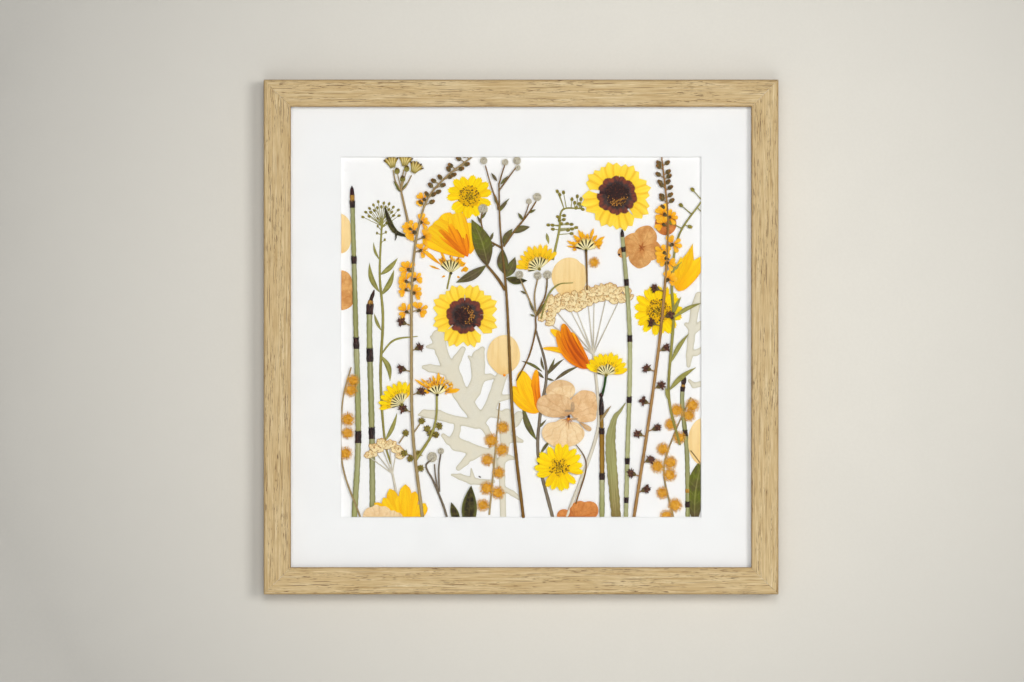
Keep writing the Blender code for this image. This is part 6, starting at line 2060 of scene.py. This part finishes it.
SILVER_LEFT = [
    [(-52.0, 0.5, 4.2), (-50.2, -9.0, 3.8), (-48.0, -14.5, 3.6), (-44.0, -21.0, 4.8),
     (-42.0, -26.5, 5.0), (-38.5, -35.0, 4.8), (-34.0, -42.0, 4.6), (-29.5, -48.5, 4.2),
     (-27.0, -53.0, 3.6)],
    [(-59.0, -6.2, 0.9), (-53.5, -5.5, 2.6)],
    [(-56.8, 0.2, 0.6), (-53.6, -3.6, 1.6)],
    [(-61.2, -19.0, 1.3), (-57.5, -19.6, 2.4), (-47.0, -21.5, 2.8)],
    [(-36.6, -7.6, 1.7), (-40.2, -13.8, 2.7), (-42.8, -19.6, 3.2)],
    [(-24.4, -7.6, 1.6), (-26.8, -12.0, 3.8), (-27.2, -17.5, 4.4), (-27.0, -26.5, 4.0),
     (-29.8, -33.8, 4.4), (-34.5, -40.5, 4.6)],
    [(-33.0, -12.2, 0.6), (-29.5, -15.5, 2.4)],
    [(-15.0, -25.6, 0.4), (-19.5, -25.0, 1.8), (-25.5, -26.0, 2.6)],
    [(-12.0, -24.0, 3.4), (-14.5, -30.5, 3.6), (-16.5, -37.5, 3.9), (-20.0, -45.5, 3.8),
     (-25.0, -51.5, 3.5), (-28.0, -54.0, 3.4)],
    [(-6.5, -37.5, 1.4), (-13.5, -38.6, 2.2)],
    [(-64.4, -49.0, 0.6), (-61.0, -48.2, 2.4), (-52.0, -49.2, 3.1), (-44.5, -51.6, 2.6),
     (-37.5, -53.0, 2.5), (-28.5, -54.5, 3.2)],
    [(-27.0, -53.0, 3.4), (-22.5, -57.5, 2.1), (-20.0, -62.5, 2.0), (-18.0, -69.0, 2.2)],
    [(-40.0, -52.5, 2.2), (-40.2, -58.5, 2.0), (-42.0, -64.0, 2.8), (-40.5, -67.5, 4.2),
     (-34.0, -69.5, 3.6), (-26.0, -71.6, 2.6), (-19.0, -72.4, 1.7)],
    [(-49.0, -62.0, 1.3), (-45.5, -65.5, 2.2), (-41.5, -67.0, 3.2)],
    [(-31.5, -73.5, 2.4), (-35.0, -78.5, 2.2), (-39.4, -82.6, 1.6)],
    [(-25.0, -72.5, 1.8), (-31.0, -76.0, 2.0)],
    [(-43.4, -86.8, 0.7), (-38.5, -88.0, 1.8), (-31.5, -90.5, 2.2), (-24.0, -91.5, 1.8),
     (-17.5, -91.0, 1.2)],
    [(-31.4, -83.0, 0.4), (-30.5, -89.0, 1.6)],
    [(-18.0, -69.0, 2.2), (-17.0, -75.5, 1.6), (-16.5, -82.0, 1.2)],
    [(-9.0, -48.5, 3.4), (-9.8, -56.0, 4.0), (-9.8, -64.0, 3.4), (-10.2, -71.5, 2.2),
     (-12.5, -78.5, 2.4), (-12.0, -88.0, 1.9), (-11.6, -100.0, 1.9), (-11.2, -116.0, 1.9)],
    [(-1.2, -49.5, 2.8), (-4.0, -53.0, 3.4), (-9.0, -57.5, 3.4)],
    [(-20.5, -47.0, 3.2), (-13.0, -49.0, 2.6)],
    [(0.6, -65.6, 1.0), (-4.0, -64.2, 2.1), (-9.5, -64.0, 3.0)],
    [(-3.8, -76.5, 0.8), (-7.5, -75.8, 1.5), (-11.5, -77.5, 2.2)],
    [(-1.2, -101.4, 1.3), (-5.5, -98.4, 1.6), (-10.5, -95.6, 1.5)],
]


def make_felted_leaves():
    piece, _ = pressed("dusty_miller_leaf", "silver_leaf", 501)
    felted_leaf(piece, SILVER_LEFT, "silver", cell=0.55)
    dome(piece, (-26.0, -88.1), 0.9, "sheath", 0.2, 0.2, squash=0.5, turn=-30)
    piece.build(clip=True)
    piece, _ = loose("silver_leaf_far_right", 0, "silver_leaf", 502)
    felted_leaf(piece, [
        [(112.0, 26.0, 2.4), (109.5, 18.0, 2.6), (108.0, 8.0, 2.4), (107.0, -2.0, 2.2),
         (106.0, -12.0, 2.0), (105.5, -18.0, 1.2)],
        [(113.5, 8.0, 2.2), (109.0, 4.0, 2.0)],
        [(114.0, -8.0, 1.8), (110.0, -10.0, 1.8), (106.5, -10.0, 2.0)],
        [(104.0, 8.0, 1.2), (107.5, 5.0, 1.8)],
        [(106.0, -27.5, 0.9), (109.0, -30.5, 1.6), (113.5, -29.5, 1.8)],
    ], "silver", cell=0.6)
    piece.build(clip=True)


def make_specimens():
    make_finishes()
    make_felted_leaves()
    make_horsetails()
    make_petals()
    make_pansy()
    make_daisies()
    make_coreopsis()
    make_side_daisies()
    make_ragged_daisies()
    make_folded_flowers()
    make_button_sprigs()
    make_leaf_sprigs()
    make_agrimony()
    make_umbels()
    make_tansy()
    make_strawflowers()
    make_mimosa()


def main():
    make_camera()
    make_wall()
    make_floor()
    make_lights()
    make_moulding()
    make_sheets()
    make_specimens()


main()
bpy.context.view_layer.update()
